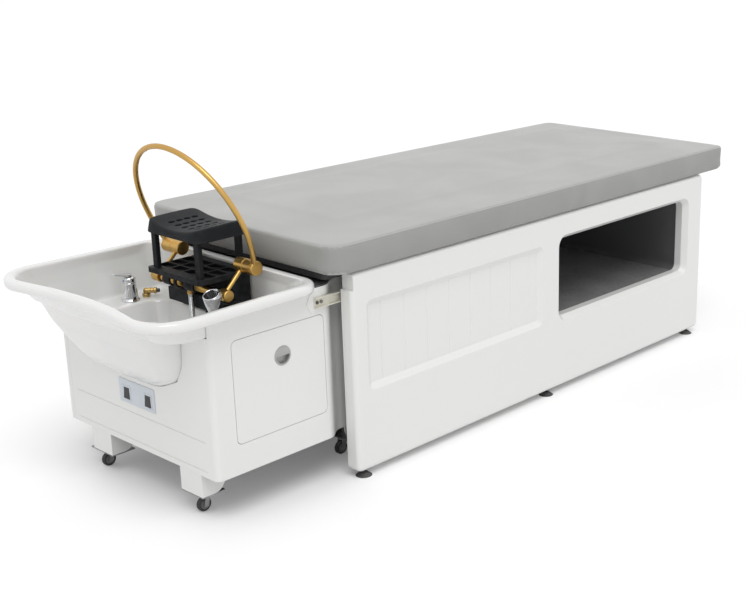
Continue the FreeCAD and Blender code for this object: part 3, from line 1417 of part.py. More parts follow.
def tap_lever():
    """Lever on a pin through the head: a tongue in the slot and a blade that points to the head end."""
    z = lever_pivot_z()
    low = z + LEVER_TONGUE_RADIUS + LEVER_LIFT_OFF
    root, tip = LEVER_ROOT_WIDTH / 2, LEVER_TIP_WIDTH / 2
    points = (
        (TAP_X - LEVER_LENGTH, TAP_Y - tip, LEVER_ROUND),
        (TAP_X, TAP_Y - root, LEVER_ROUND),
        (TAP_X, TAP_Y + root, LEVER_ROUND),
        (TAP_X - LEVER_LENGTH, TAP_Y + tip, LEVER_ROUND),
    )
    blade = prism(points, "xy", low, low + LEVER_THICKNESS)
    blade.rotate(V(TAP_X, TAP_Y, low), V(0, 1, 0), LEVER_SLOPE)
    half = LEVER_TONGUE_WIDTH / 2
    disc = bar_y(TAP_X, z, LEVER_TONGUE_RADIUS, TAP_Y - half, TAP_Y + half)
    neck_x = TAP_X - LEVER_TONGUE_RADIUS
    neck = block(neck_x, TAP_X, TAP_Y - half, TAP_Y + half, z, low + LEVER_THICKNESS / 2)
    pin = bar_y(TAP_X, z, LEVER_PIN_RADIUS, TAP_Y - LEVER_PIN_HALF, TAP_Y + LEVER_PIN_HALF)
    return fuse([blade, disc, neck, pin])


def nut(x, y, z, radius, height):
    """Six-sided nut standing on z."""
    corners = []
    for i in range(NUT_SIDES + 1):
        turn = 2 * math.pi * i / NUT_SIDES
        corners.append(V(x + radius * math.cos(turn), y + radius * math.sin(turn), z))
    return extruded(Part.makePolygon(corners), V(0, 0, height))


def elbow_turned(shape):
    """Shape turned about the elbow's upright axis, from the foot's direction to the branch's own."""
    return shape.rotated(V(ELBOW_X, ELBOW_Y, 0), V(0, 0, 1), ELBOW_TURN)


def supply_elbow():
    """Brass elbow on the deck, with a branch towards the foot and the near side."""
    z = DECK_Z + ELBOW_UP
    foot = nut(ELBOW_X, ELBOW_Y, DECK_Z, ELBOW_NUT_RADIUS, ELBOW_NUT_HEIGHT)
    riser = rod(V(ELBOW_X, ELBOW_Y, DECK_Z), V(0, 0, 1), ELBOW_RADIUS, ELBOW_UP)
    bend = Part.makeSphere(ELBOW_RADIUS, V(ELBOW_X, ELBOW_Y, z))
    branch = rod(V(ELBOW_X, ELBOW_Y, z), V(1, 0, 0), ELBOW_RADIUS, ELBOW_REACH)
    collar_x = ELBOW_X + ELBOW_REACH - ELBOW_COLLAR_LENGTH
    collar = rod(V(collar_x, ELBOW_Y, z), V(1, 0, 0), ELBOW_COLLAR_RADIUS, ELBOW_COLLAR_LENGTH)
    return elbow_turned(fuse([foot, riser, bend, branch, collar]))


def elbow_tip():
    """Black cap on the elbow's branch."""
    z = DECK_Z + ELBOW_UP
    tip = rod(V(ELBOW_X + ELBOW_REACH, ELBOW_Y, z), V(1, 0, 0), ELBOW_TIP_RADIUS, ELBOW_TIP_LENGTH)
    return elbow_turned(tip)


def headrest_base():
    """Hollow block on the rear ledge with a bar along its front."""
    body = block(BASE_FRONT_X, BASE_REAR_X, -BASE_HALF, BASE_HALF, DECK_Z, TRAY_BOTTOM_Z)
    wall = BASE_WALL
    hollow = block(
        BASE_FRONT_X + wall, BASE_REAR_X - wall, wall - BASE_HALF, BASE_HALF - wall,
        DECK_Z - OVERRUN, TRAY_BOTTOM_Z - wall,
    )
    points = rectangle(BAR_NEAR_Y, BAR_FAR_Y, BAR_BOTTOM_Z, BAR_TOP_Z, TRAY_ROUND / 2)
    bar = prism(points, "yz", BAR_FRONT_X, BASE_FRONT_X)
    return fuse([body.cut(hollow), bar])


def leg_sites():
    """Places of the neck rest's legs."""
    return [(x, y) for x in NECK_LEG_X for y in NECK_LEG_Y]


def leg_box(x, y, low, high, grow):
    """One leg of the neck rest between two levels."""
    half_x = NECK_LEG_THICKNESS / 2 + grow
    half_y = NECK_LEG_WIDTH / 2 + grow
    return block(x - half_x, x + half_x, y - half_y, y + half_y, low, high)


def headrest_tray():
    """Ribbed tray on the base, with pockets and the sockets of the neck rest's legs."""
    half = TRAY_HALF
    points = rectangle(TRAY_FRONT_X, TRAY_REAR_X, -half, half, TRAY_ROUND)
    tray = prism(points, "xy", TRAY_BOTTOM_Z, TRAY_TOP_Z)
    margin = NECK_LEG_THICKNESS + 2 * TRAY_RIB
    front, rear = TRAY_FRONT_X + margin + TRAY_RIB, TRAY_REAR_X - margin
    long = (rear - front - TRAY_RIB * (TRAY_POCKETS_LONG - 1)) / TRAY_POCKETS_LONG
    wide = (2 * half - TRAY_RIB * (TRAY_POCKETS_WIDE + 1)) / TRAY_POCKETS_WIDE
    for i in range(TRAY_POCKETS_LONG):
        for j in range(TRAY_POCKETS_WIDE):
            x = front + i * (long + TRAY_RIB)
            y = TRAY_RIB - half + j * (wide + TRAY_RIB)
            floor = TRAY_TOP_Z - TRAY_POCKET_DEPTH
            hollow = rectangle(x, x + long, y, y + wide, TRAY_RIB / 2)
            tray = tray.cut(prism(hollow, "xy", floor, TRAY_TOP_Z + OVERRUN))
    for x, y in leg_sites():
        tray = tray.cut(leg_box(x, y, TRAY_BOTTOM_Z + SOCKET_FLOOR, TRAY_TOP_Z + OVERRUN, PLAY))
    return tray


def port():
    """Hose port on the underside of the manifold bar, as drawn for the clamp's hole too."""
    top = MANIFOLD_Z
    low = HOSE_ROUTE[0][2]
    return V(HOSE_ROUTE[0][0], HOSE_ROUTE[0][1], low), top - low


def manifold_clamps():
    """Clamps that hang the manifold bar from the tray, with the screw head of the first."""
    clamps = []
    start, tall = port()
    port_space = rod(start, V(0, 0, 1), HOSE_PORT_RADIUS + PLAY, tall)
    bar_space = bar_y(MANIFOLD_X, MANIFOLD_Z, MANIFOLD_RADIUS, -MANIFOLD_HALF, MANIFOLD_HALF)
    for y, width in zip(CLAMP_Y, CLAMP_WIDTH):
        low, high = y - width / 2, y + width / 2
        ring = bar_y(MANIFOLD_X, MANIFOLD_Z, CLAMP_RADIUS, low, high)
        half = CLAMP_NECK / 2
        neck = block(MANIFOLD_X - half, MANIFOLD_X + half, low, high, MANIFOLD_Z, TRAY_BOTTOM_Z)
        clamps.append(fuse([ring, neck]).cut(bar_space).cut(port_space))
    return group(clamps)


def manifold_bar():
    """Water bar across the tray: bar, end spigots for the arms' caps, and the hose port."""
    half = MANIFOLD_HALF
    end = half + MANIFOLD_SPIGOT_LENGTH
    bar = bar_y(MANIFOLD_X, MANIFOLD_Z, MANIFOLD_RADIUS, -half, half)
    spigots = bar_y(MANIFOLD_X, MANIFOLD_Z, MANIFOLD_SPIGOT_RADIUS, -end, end)
    start, tall = port()
    return fuse([bar, spigots, rod(start, V(0, 0, 1), HOSE_PORT_RADIUS, tall)])


def halo_arms():
    """Two arms on the manifold bar's ends, each with a cap below and a pivot barrel above."""
    end = MANIFOLD_HALF + MANIFOLD_SPIGOT_LENGTH + PLAY
    way = V(PIVOT_X - MANIFOLD_X, 0, PIVOT_Z - MANIFOLD_Z)
    cap = bar_y(MANIFOLD_X, MANIFOLD_Z, CAP_RADIUS, CAP_INNER_Y, CAP_OUTER_Y)
    arm = rod(V(MANIFOLD_X, ARM_Y, MANIFOLD_Z), way, ARM_RADIUS, way.Length)
    barrel = bar_y(PIVOT_X, PIVOT_Z, PIVOT_RADIUS, PIVOT_INNER_Y, PIVOT_SPLIT_Y - PLAY)
    arm = fuse([cap, arm, barrel])
    arm = arm.cut(bar_y(MANIFOLD_X, MANIFOLD_Z, MANIFOLD_SPIGOT_RADIUS + FIT, CAP_INNER_Y - OVERRUN, end))
    depth = PIVOT_SPLIT_Y - PIVOT_PIN_DEPTH - PLAY
    arm = arm.cut(bar_y(PIVOT_X, PIVOT_Z, PIVOT_PIN_RADIUS + FIT, depth, PIVOT_SPLIT_Y + OVERRUN))
    return group([arm, mirrored(arm)])


def halo_arc():
    """Radius and centre height of the halo's arc, measured along its own leaning plane."""
    radius = (HALO_FOOT_Y ** 2 + HALO_HEIGHT ** 2) / (2 * HALO_HEIGHT)
    return radius, HALO_HEIGHT - radius


def halo_point(y, up):
    """Point of the halo's leaning plane."""
    lean = math.radians(HALO_TILT)
    return V(PIVOT_X - up * math.sin(lean), y, PIVOT_Z + up * math.cos(lean))


def halo_tube():
    """Arched tube between two knuckles, with pins into the arms' barrels and a row of outlet holes."""
    top = halo_point(0, HALO_HEIGHT)
    path = Part.Wire(Part.Arc(halo_point(-HALO_FOOT_Y, 0), top, halo_point(HALO_FOOT_Y, 0)).toShape())
    knuckle = bar_y(PIVOT_X, PIVOT_Z, PIVOT_RADIUS, PIVOT_SPLIT_Y, PIVOT_OUTER_Y)
    knuckle = round_edges(knuckle, PIVOT_CHAMFER, lambda edge: lies_at(edge, "y", PIVOT_OUTER_Y))
    pin = bar_y(PIVOT_X, PIVOT_Z, PIVOT_PIN_RADIUS, PIVOT_SPLIT_Y - PIVOT_PIN_DEPTH, PIVOT_SPLIT_Y)
    side = fuse([knuckle, pin])
    halo = fuse([swept(path, HALO_TUBE_RADIUS), side, mirrored(side)])
    halo = halo.cut(swept(path, HALO_TUBE_RADIUS - HALO_TUBE_WALL))
    radius, centre_up = halo_arc()
    for i in range(HALO_HOLES):
        turn = math.pi * (i + 1) / (HALO_HOLES + 1)
        way = halo_point(math.cos(turn), math.sin(turn)) - halo_point(0, 0)
        start = halo_point(0, centre_up) + way * (radius - HALO_TUBE_RADIUS - HALO_TUBE_WALL)
        halo = halo.cut(rod(start, way, HALO_HOLE_RADIUS, HALO_TUBE_RADIUS))
    return halo


def neck_block(shrink):
    """Rounded block of the neck rest's pad, or with a shrink the space inside its shell."""
    near, far = NECK_MIDDLE_Y - NECK_HALF, NECK_MIDDLE_Y + NECK_HALF
    points = rectangle(NECK_FRONT_X, NECK_REAR_X, near, far, NECK_CORNER, -shrink)
    low = NECK_BOTTOM_Z - (OVERRUN if shrink > 0 else 0)
    return prism(points, "xy", low, NECK_TOP_Z - shrink)


def neck_dip(shrink):
    """Cylinder along the bed whose underside is the neck rest's saddle."""
    start = V(NECK_FRONT_X - OVERRUN, NECK_MIDDLE_Y, NECK_TOP_Z - NECK_DIP + NECK_DIP_RADIUS)
    return rod(start, V(1, 0, 0), NECK_DIP_RADIUS + shrink, NECK_REAR_X - NECK_FRONT_X + 2 * OVERRUN)


def neck_holes():
    """Rows of rounded slots through the neck rest's pad."""
    middle_x = (NECK_FRONT_X + NECK_REAR_X) / 2
    half_x, half_y = NECK_HOLE_LENGTH / 2, NECK_HOLE_WIDTH / 2
    holes = []
    for i in range(NECK_HOLE_ROWS):
        for j in range(NECK_HOLE_COLUMNS):
            x = middle_x + (i - (NECK_HOLE_ROWS - 1) / 2) * NECK_HOLE_PITCH_X
            y = NECK_MIDDLE_Y + (j - (NECK_HOLE_COLUMNS - 1) / 2) * NECK_HOLE_PITCH_Y
            slot = rectangle(x - half_x, x + half_x, y - half_y, y + half_y, half_y - FIT)
            holes.append(prism(slot, "xy", NECK_BOTTOM_Z, NECK_TOP_Z + OVERRUN))
    return holes


def neck_rest():
    """Perforated saddle-shaped shell on four legs that stand in the tray's sockets."""
    outer = round_edges(neck_block(0.0), NECK_EDGE_ROUND, lambda edge: lies_at(edge, "z", NECK_TOP_Z))
    deep_dip = neck_dip(NECK_WALL)
    pad = outer.cut(neck_dip(0.0)).cut(neck_block(NECK_WALL).cut(deep_dip))
    for hole in neck_holes():
        pad = pad.cut(hole)
    pieces = [pad]
    for x, y in leg_sites():
        leg = leg_box(x, y, TRAY_BOTTOM_Z + SOCKET_FLOOR + SEAT_GAP, NECK_TOP_Z - NECK_WALL, 0.0)
        pieces.append(leg.cut(deep_dip))
    return fuse(pieces)


def shower_rod(radius, low, high):
    """Upright cylinder on the hand shower's axis."""
    return rod(V(SHOWER_X, SHOWER_Y, low), V(0, 0, 1), radius, high - low)


def hand_shower():
    """Small hand shower: turned handle and head with a flat outlet face towards the head end."""
    points = [V(SHOWER_X, SHOWER_Y, SHOWER_BOTTOM_Z)]
    for level, width in zip(SHOWER_LEVEL_SHARES, SHOWER_RADIUS_SHARES):
        points.append(V(SHOWER_X + SHOWER_RADIUS * width, SHOWER_Y, SHOWER_BOTTOM_Z + SHOWER_LENGTH * level))
    points.append(V(SHOWER_X, SHOWER_Y, SHOWER_BOTTOM_Z + SHOWER_LENGTH))
    points.append(points[0])
    body = Part.Face(Part.makePolygon(points)).revolve(V(SHOWER_X, SHOWER_Y, 0), V(0, 0, 1), 360)
    face_x = SHOWER_X - SHOWER_FACE_OFF
    reach = 2 * SHOWER_RADIUS
    front = block(face_x - reach, face_x, SHOWER_Y - reach, SHOWER_Y + reach, 0, DECK_Z + RIM_TOP_Z)
    body = body.cut(front)
    z = SHOWER_BOTTOM_Z + SHOWER_LENGTH * SHOWER_LEVEL_SHARES[3]
    start = V(face_x - SHOWER_FACE_THICKNESS, SHOWER_Y, z)
    face = rod(start, V(1, 0, 0), SHOWER_FACE_RADIUS, SHOWER_FACE_THICKNESS)
    return fuse([body, face])


def shower_holder():
    """Fork-shaped clip on the base's bar that the hand shower's handle hangs in."""
    half = HOLDER_MOUTH / 2 + HOLDER_WALL
    front = SHOWER_X - HOLDER_NOSE
    points = rectangle(front, BAR_FRONT_X, SHOWER_Y - half, SHOWER_Y + half, HOLDER_WALL / 2)
    clip = prism(points, "xy", HOLDER_Z, HOLDER_Z + HOLDER_HEIGHT)
    mouth = HOLDER_MOUTH / 2
    low, high = HOLDER_Z - OVERRUN, HOLDER_Z + 2 * OVERRUN
    slot = block(front - OVERRUN, SHOWER_X, SHOWER_Y - mouth, SHOWER_Y + mouth, low, high)
    return clip.cut(slot).cut(shower_rod(mouth, low, high))


def shower_hose():
    """Hose from the manifold's port, down in a loop over the bowl and up to the hand shower."""
    path = tube_path(HOSE_ROUTE)
    return swept(path, HOSE_RADIUS)


def sub_parts():
    """Every node's name and solid."""
    space = basin_body(BASIN_CLEARANCE)
    near_panel = side_panel(True)
    parts = {
        "mattress": mattress(),
        "mattress_base_board": mattress_board(),
        "near_side_panel": near_panel,
        "far_side_panel": mirrored(side_panel(False)),
        "foot_panel": foot_panel(),
        "storage_niche_liner": niche_liner(),
        "niche_mat": niche_mat(),
        "frame_side_rails": side_frames(),
        "frame_crossbars": crossbars(),
        "levelling_feet": levelling_feet(),
        "link_guides": link_guides(),
        "cabinet_front_panel": cabinet_front_panel(space),
        "cabinet_near_side": cabinet_near_side(space),
        "cabinet_far_side": cabinet_far_side(space),
        "cabinet_back_panel": cabinet_back_panel(),
        "cabinet_base_pan": cabinet_base_pan(),
        "cabinet_top_plate": cabinet_top_plate(),
        "leg_brackets": leg_brackets(),
        "caster_plates": caster_plates(),
        "basin": basin(),
        "waste_outlet": waste_outlet(),
        "drain_strainer": drain_strainer(),
        "waste_pipe": waste_pipe(),
        "water_tank": water_tank(),
        "circulation_pump": circulation_pump(),
        "control_plate": control_plate(),
        "left_rocker": rocker(SWITCH_Y[0]),
        "right_rocker": rocker(SWITCH_Y[1]),
        "link_plates": link_plates(),
        "link_channels": link_channels(),
        "link_screws": link_screws(),
        "door_panel": door_panel(),
        "door_pull": door_pull(),
        "tap_base": tap_base(),
        "tap_head": tap_head(),
        "tap_lever": tap_lever(),
        "supply_elbow": supply_elbow(),
        "elbow_tip": elbow_tip(),
        "headrest_base": headrest_base(),
        "headrest_tray": headrest_tray(),
        "manifold_clamps": manifold_clamps(),
        "manifold_bar": manifold_bar(),
        "halo_arms": halo_arms(),
        "halo_tube": halo_tube(),
        "neck_rest": neck_rest(),
        "hand_shower": hand_shower(),
        "shower_holder": shower_holder(),
        "shower_hose": shower_hose(),
    }
    for name, x, y, _, _, _ in caster_sites():
        parts[name + "_caster_fork"] = caster_fork(x, y)
        parts[name + "_caster_tyre"] = caster_tyre(x, y)
        parts[name + "_caster_hub"] = caster_hub(x, y)
    return parts


def main():
    """Write one STEP file per node."""
    os.makedirs("parts", exist_ok=True)
    for name, shape in sub_parts().items():
        shape.exportStep("parts/" + name + ".step")


main()
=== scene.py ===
"""Looks of the hair washing bed, made round its construction pieces.

Metres. +X runs from the basin at the head to the foot of the bed, +Z is up, and the side with the
storage niche and the service door faces -Y. New pieces are surfaces worked out on grids of points:
a closed outline is carried through a row of levels, a profile is turned round an axis, or a section
is carried along a path. Construction pieces whose shape is right are carried over with eased edges.
"""
import json
import logging
import math
from dataclasses import dataclass, field
from enum import Enum

import bmesh
import bpy
import numpy as np
from mathutils import Matrix, Vector
from mathutils.bvhtree import BVHTree

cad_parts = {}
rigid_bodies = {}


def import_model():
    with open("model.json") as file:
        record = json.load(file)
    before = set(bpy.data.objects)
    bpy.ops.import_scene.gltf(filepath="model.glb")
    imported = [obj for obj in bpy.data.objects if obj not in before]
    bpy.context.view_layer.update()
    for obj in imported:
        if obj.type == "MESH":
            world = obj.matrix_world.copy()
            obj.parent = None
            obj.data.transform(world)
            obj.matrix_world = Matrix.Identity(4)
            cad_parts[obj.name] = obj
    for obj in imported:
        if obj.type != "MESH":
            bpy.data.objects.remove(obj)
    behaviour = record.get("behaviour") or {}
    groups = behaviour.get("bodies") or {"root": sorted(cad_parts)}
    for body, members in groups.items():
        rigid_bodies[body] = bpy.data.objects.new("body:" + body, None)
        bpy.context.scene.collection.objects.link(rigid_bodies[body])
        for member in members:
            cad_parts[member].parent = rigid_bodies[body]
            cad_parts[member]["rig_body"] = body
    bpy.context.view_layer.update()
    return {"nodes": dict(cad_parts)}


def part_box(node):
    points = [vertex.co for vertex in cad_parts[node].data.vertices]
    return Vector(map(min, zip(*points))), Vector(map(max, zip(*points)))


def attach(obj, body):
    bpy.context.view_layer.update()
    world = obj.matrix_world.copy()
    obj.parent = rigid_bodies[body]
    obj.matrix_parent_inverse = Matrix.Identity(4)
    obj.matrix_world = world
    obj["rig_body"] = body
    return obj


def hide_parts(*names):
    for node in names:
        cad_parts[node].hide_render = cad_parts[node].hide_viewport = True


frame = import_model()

LOG = logging.getLogger("hair_washing_bed")
MM = 0.001
WELD = 1e-6
UP = np.array((0.0, 0.0, 1.0))
LONGEST_CUT = 0.45
DUST_ROUGHNESS = 0.3

Colour = tuple[float, float, float]
Row = tuple[float, ...]
Rows = tuple[Row, ...]
Socket = bpy.types.NodeSocket
Sockets = list[bpy.types.NodeSocket]
Outputs = bpy.types.NodeOutputs
WHITE: Colour = (1.0, 1.0, 1.0)


class Along(Enum):
    """Direction of a turned piece's axis, with the two directions that its circle is drawn in."""

    X = ((1.0, 0.0, 0.0), (0.0, 1.0, 0.0), (0.0, 0.0, 1.0))
    Y = ((0.0, 1.0, 0.0), (0.0, 0.0, 1.0), (1.0, 0.0, 0.0))
    Z = ((0.0, 0.0, 1.0), (1.0, 0.0, 0.0), (0.0, 1.0, 0.0))


@dataclass
class Surface:
    """Points with four-sided faces between them and many-sided faces that close the ends."""

    points: np.ndarray
    quads: np.ndarray
    caps: list[np.ndarray] = field(default_factory=list)

    def volume(self) -> float:
        """Signed volume: a sixth of the triple products of the fan triangles of every face.

        Returns:
            Positive where the faces point outward.
        """
        quads = self.points[self.quads]
        first, second, third, fourth = (quads[:, i] for i in range(4))
        total = np.einsum("ij,ij->", first, np.cross(second, third))
        total += np.einsum("ij,ij->", first, np.cross(third, fourth))
        for cap in self.caps:
            fan = self.points[cap]
            total += np.einsum("j,ij->", fan[0], np.cross(fan[1:-1], fan[2:]))
        return float(total) / 6

    def flipped(self, points: np.ndarray) -> "Surface":
        """The same faces, turned over, on other points."""
        return Surface(points, self.quads[:, ::-1], [cap[::-1] for cap in self.caps])

    def outward(self) -> "Surface":
        """This surface with its faces turned outward."""
        return self if self.volume() >= 0 else self.flipped(self.points)

    def spun(self, angle: float, x: float, y: float) -> "Surface":
        """A copy turned by an angle about the upright axis at (x, y)."""
        cosine, sine = math.cos(angle), math.sin(angle)
        turn = np.array(((cosine, sine, 0.0), (-sine, cosine, 0.0), (0.0, 0.0, 1.0)))
        axis = np.array((x, y, 0.0))
        return Surface((self.points - axis) @ turn + axis, self.quads, self.caps)

    def tipped(self, way: np.ndarray, place: np.ndarray) -> "Surface":
        """A copy whose upright axis is turned to another direction and whose origin is put at a place."""
        across = unit(np.cross(np.array((0.0, 1.0, 0.0)), way))
        axes = np.stack([across, np.cross(way, across), way])
        return Surface(self.points @ axes + place, self.quads, self.caps)

    def mirrored(self) -> "Surface":
        """A copy on the other side of the bed, with its faces turned back outward."""
        return self.flipped(self.points * np.array((1.0, -1.0, 1.0)))


def joined(surfaces: list[Surface]) -> Surface:
    """Several surfaces as one.

    Args:
        surfaces: The surfaces, in order.
    Returns:
        One surface that holds all their points and faces.
    """
    starts = np.cumsum([0] + [len(s.points) for s in surfaces])
    points = np.concatenate([s.points for s in surfaces])
    quads = np.concatenate([s.quads + start for s, start in zip(surfaces, starts)])
    caps = [cap + start for s, start in zip(surfaces, starts) for cap in s.caps]
    return Surface(points, quads, caps)


def unit(vectors: np.ndarray) -> np.ndarray:
    """Vectors divided by their own lengths."""
    return vectors / np.maximum(np.linalg.norm(vectors, axis=-1, keepdims=True), 1e-12)


def distances(path: np.ndarray) -> np.ndarray:
    """Distance from the first point of a path to each of its points, along it."""
    return np.concatenate([[0.0], np.cumsum(np.linalg.norm(np.diff(path, axis=0), axis=1))])


def placed(path: np.ndarray, far: np.ndarray, where: np.ndarray) -> np.ndarray:
    """Points at the distances "where" on a path whose own points lie at the distances "far"."""
    return np.stack([np.interp(where, far, path[:, i]) for i in range(3)], -1)


def circles(across: np.ndarray, over: np.ndarray, sides: int) -> np.ndarray:
    """Unit circles drawn in pairs of directions: cos a * across + sin a * over, a going evenly round.

    Args:
        across: (..., 3) first directions.
        over: (..., 3) second directions.
        sides: Points of each circle.
    Returns:
        (..., sides, 3) points.
    """
    angle = np.linspace(0, 2 * math.pi, sides, endpoint=False)[:, None]
    return np.cos(angle) * across[..., None, :] + np.sin(angle) * over[..., None, :]


def points_of(mesh: bpy.types.Mesh) -> np.ndarray:
    """A mesh's points, (N, 3)."""
    points = np.empty(len(mesh.vertices) * 3)
    mesh.vertices.foreach_get("co", points)
    return points.reshape(-1, 3)


def rounded(corners: np.ndarray, arc_steps: int = 10, side_steps: int = 6) -> np.ndarray:
    """Closed outlines with rounded corners.

    Where two sides meet at half the angle h, an arc of radius r has its centre r / sin h along the
    bisector and its ends r / tan h along the sides. Its points turn evenly from one end to the
    other, and each straight side is divided evenly.

    Args:
        corners: (..., K, 3) rows of first coordinate, second coordinate and radius.
        arc_steps: Points on each arc, its ends included.
        side_steps: Points on each side between two arcs.
    Returns:
        (..., K * (arc_steps + side_steps), 2) points, in the order of the corners.
    """
    place, radius = corners[..., :2], corners[..., 2:]
    before = unit(np.roll(place, 1, -2) - place)
    after = unit(np.roll(place, -1, -2) - place)
    cosine = np.sum(before * unit(before + after), -1, keepdims=True)
    half = np.arccos(np.clip(cosine, -1, 1))
    centre = place + unit(before + after) * radius / np.sin(half)
    start = place + before * radius / np.tan(half)
    end = place + after * radius / np.tan(half)
    turn = (math.pi - 2 * half)[..., None, :]
    share = np.linspace(0, 1, arc_steps)[:, None]
    first, last = (start - centre)[..., None, :], (end - centre)[..., None, :]
    arc = first * np.sin((1 - share) * turn) + last * np.sin(share * turn)
    arc = centre[..., None, :] + arc / np.sin(turn)
    following = np.roll(start, -1, -2)[..., None, :]
    along = np.linspace(0, 1, side_steps + 2)[1:-1, None]
    side = end[..., None, :] * (1 - along) + following * along
    both = np.concatenate([arc, side], -2)
    return both.reshape(*both.shape[:-3], -1, 2)


def at_levels(outlines: np.ndarray, levels: np.ndarray) -> np.ndarray:
    """Level outlines, (L, N, 2), set at L heights: (L, N, 3) loops of points."""
    heights = np.asarray(levels, float)[:, None, None] + np.zeros((*outlines.shape[:-1], 1))
    return np.concatenate([outlines, heights], -1)


def box_corners(low: Row, high: Row, radius: np.ndarray, inset: np.ndarray) -> np.ndarray:
    """Corners of nested rounded rectangles.

    Args:
        low: Lowest first and second coordinate.
        high: Highest first and second coordinate.
        radius: (L,) corner radii before the inset, at least the inset.
        inset: (L,) distances that every side is drawn in.
    Returns:
        (L, 4, 3) corners for rounded().
    """
    inset = np.asarray(inset, float)
    bend = np.maximum(np.asarray(radius, float) - inset, 0.2 * MM) + 0 * inset
    left, right = low[0] + inset, high[0] - inset
    near, far = low[1] + inset, high[1] - inset
    rows = [(left, near), (right, near), (right, far), (left, far)]
    return np.stack([np.stack([u, v, bend], -1) for u, v in rows], -2)


def eased(loops: np.ndarray, reach: np.ndarray, steps: int = 4, closed: bool = False) -> np.ndarray:
    """Loops whose profile has its corners rounded.

    At each loop the two sides of the profile are cut back by its reach, at most 0.45 of each side,
    and joined by the quadratic Bezier curve whose control point is the loop's own point.

    Args:
        loops: (L, N, D) loops of points.
        reach: (L,) distances cut back, zero for a loop that stays.
        steps: Loops that take the place of each eased one.
        closed: Whether the last loop joins the first.
    Returns:
        (M, N, D) loops.
    """
    reach = np.asarray(reach, float)
    before, after = np.roll(loops, 1, 0) - loops, np.roll(loops, -1, 0) - loops
    if not closed:
        before[0] = 0
        after[-1] = 0
    long_before = np.linalg.norm(before, axis=-1, keepdims=True)
    long_after = np.linalg.norm(after, axis=-1, keepdims=True)
    cut = reach[:, None, None]
    first = loops + unit(before) * np.minimum(cut, LONGEST_CUT * long_before)
    last = loops + unit(after) * np.minimum(cut, LONGEST_CUT * long_after)
    share = np.linspace(0, 1, steps)[None, :, None, None]
    curve = (1 - share) ** 2 * first[:, None] + 2 * share * (1 - share) * loops[:, None]
    curve = curve + share ** 2 * last[:, None]
    kept = (reach[:, None] > 0) | (np.arange(steps)[None, :] == 0)
    return curve[kept]


def strips(rows: int, count: int, closed: bool = False) -> np.ndarray:
    """Corner numbers of the four-sided faces between neighbouring loops of "count" points."""
    index = np.arange(rows * count).reshape(rows, count)
    lower = index if closed else index[:-1]
    upper = np.roll(index, -1, 0) if closed else index[1:]
    return np.stack([lower, np.roll(lower, -1, 1), np.roll(upper, -1, 1), upper], -1).reshape(-1, 4)


def skin(loops: np.ndarray, closed: bool = False, capped: bool = True) -> Surface:
    """Faces between neighbouring loops, with the ends closed.

    Args:
        loops: (L, N, 3) loops of points.
        closed: Whether the last loop joins the first, as in a ring.
        capped: Whether the two end loops are closed by a face each.
    Returns:
        The surface, with its faces outward where it is closed.
    """
    rows, count = loops.shape[:2]
    ends = np.arange(count)
    caps = [ends[::-1], ends + (rows - 1) * count] if capped and not closed else []
    return Surface(loops.reshape(-1, 3), strips(rows, count, closed), caps).outward()


def turned(profile: np.ndarray, start: Row, along: Along, sides: int, closed: bool = False) -> Surface:
    """Profile turned round an axis: start + level * axis + radius * a unit circle's point.

    Args:
        profile: (M, 2) rows of radius and level.
        start: Point of the axis at level zero.
        along: Direction of the axis.
        sides: Points round the axis.
        closed: Whether the profile is a closed ring.
    Returns:
        The turned surface.
    """
    axis, one, other = (np.array(v) for v in along.value)
    radius, level = profile[:, 0, None, None], profile[:, 1, None, None]
    return skin(np.array(start) + level * axis + radius * circles(one, other, sides), closed)


def lathe(rows: Rows, start: Row, along: Along, sides: int, closed: bool = False) -> Surface:
    """Piece turned from a profile with rounded corners.

    Args:
        rows: Rows of radius, level and how far the corner is rounded, in millimetres.
        start: Point of the axis at level zero, in metres.
        along: Direction of the axis.
        sides: Points round the axis.
        closed: Whether the profile is a closed ring.
    Returns:
        The turned surface.
    """
    table = np.array(rows) * MM
    return turned(eased(table[:, None, :2], table[:, 2], closed=closed)[:, 0], start, along, sides, closed)


def tube(path: np.ndarray, radius: np.ndarray, upright: Row, sides: int = 20) -> Surface:
    """Round section carried along a path.

    At each point the section's two directions are the tangent crossed with the upright direction,
    and that crossed with the tangent.

    Args:
        path: (M, 3) points.
        radius: (M,) radii.
        upright: Direction that is nowhere along the path.
        sides: Points round the section.
    Returns:
        The closed tube.
    """
    tangent = unit(np.gradient(path, axis=0))
    across = unit(np.cross(tangent, np.array(upright)))
    ring = circles(across, np.cross(across, tangent), sides)
    return skin(path[:, None] + np.asarray(radius)[:, None, None] * ring)


def plate(low: Row, high: Row, radius: float, levels: Row, edge: float) -> Surface:
    """Level plate with rounded corners and rolled edges.

    Args:
        low: Lowest x and y.
        high: Highest x and y.
        radius: Corner radius of the outline.
        levels: Heights of the two faces.
        edge: Radius of the rolled edges.
    Returns:
        The closed plate.
    """
    inset = np.array([2 * edge, 0.0, 0.0, 2 * edge])
    outlines = rounded(box_corners(low, high, np.full(4, radius), inset))
    loops = at_levels(outlines, np.repeat(levels, 2))
    return skin(eased(loops, np.array([0.0, edge, edge, 0.0])))


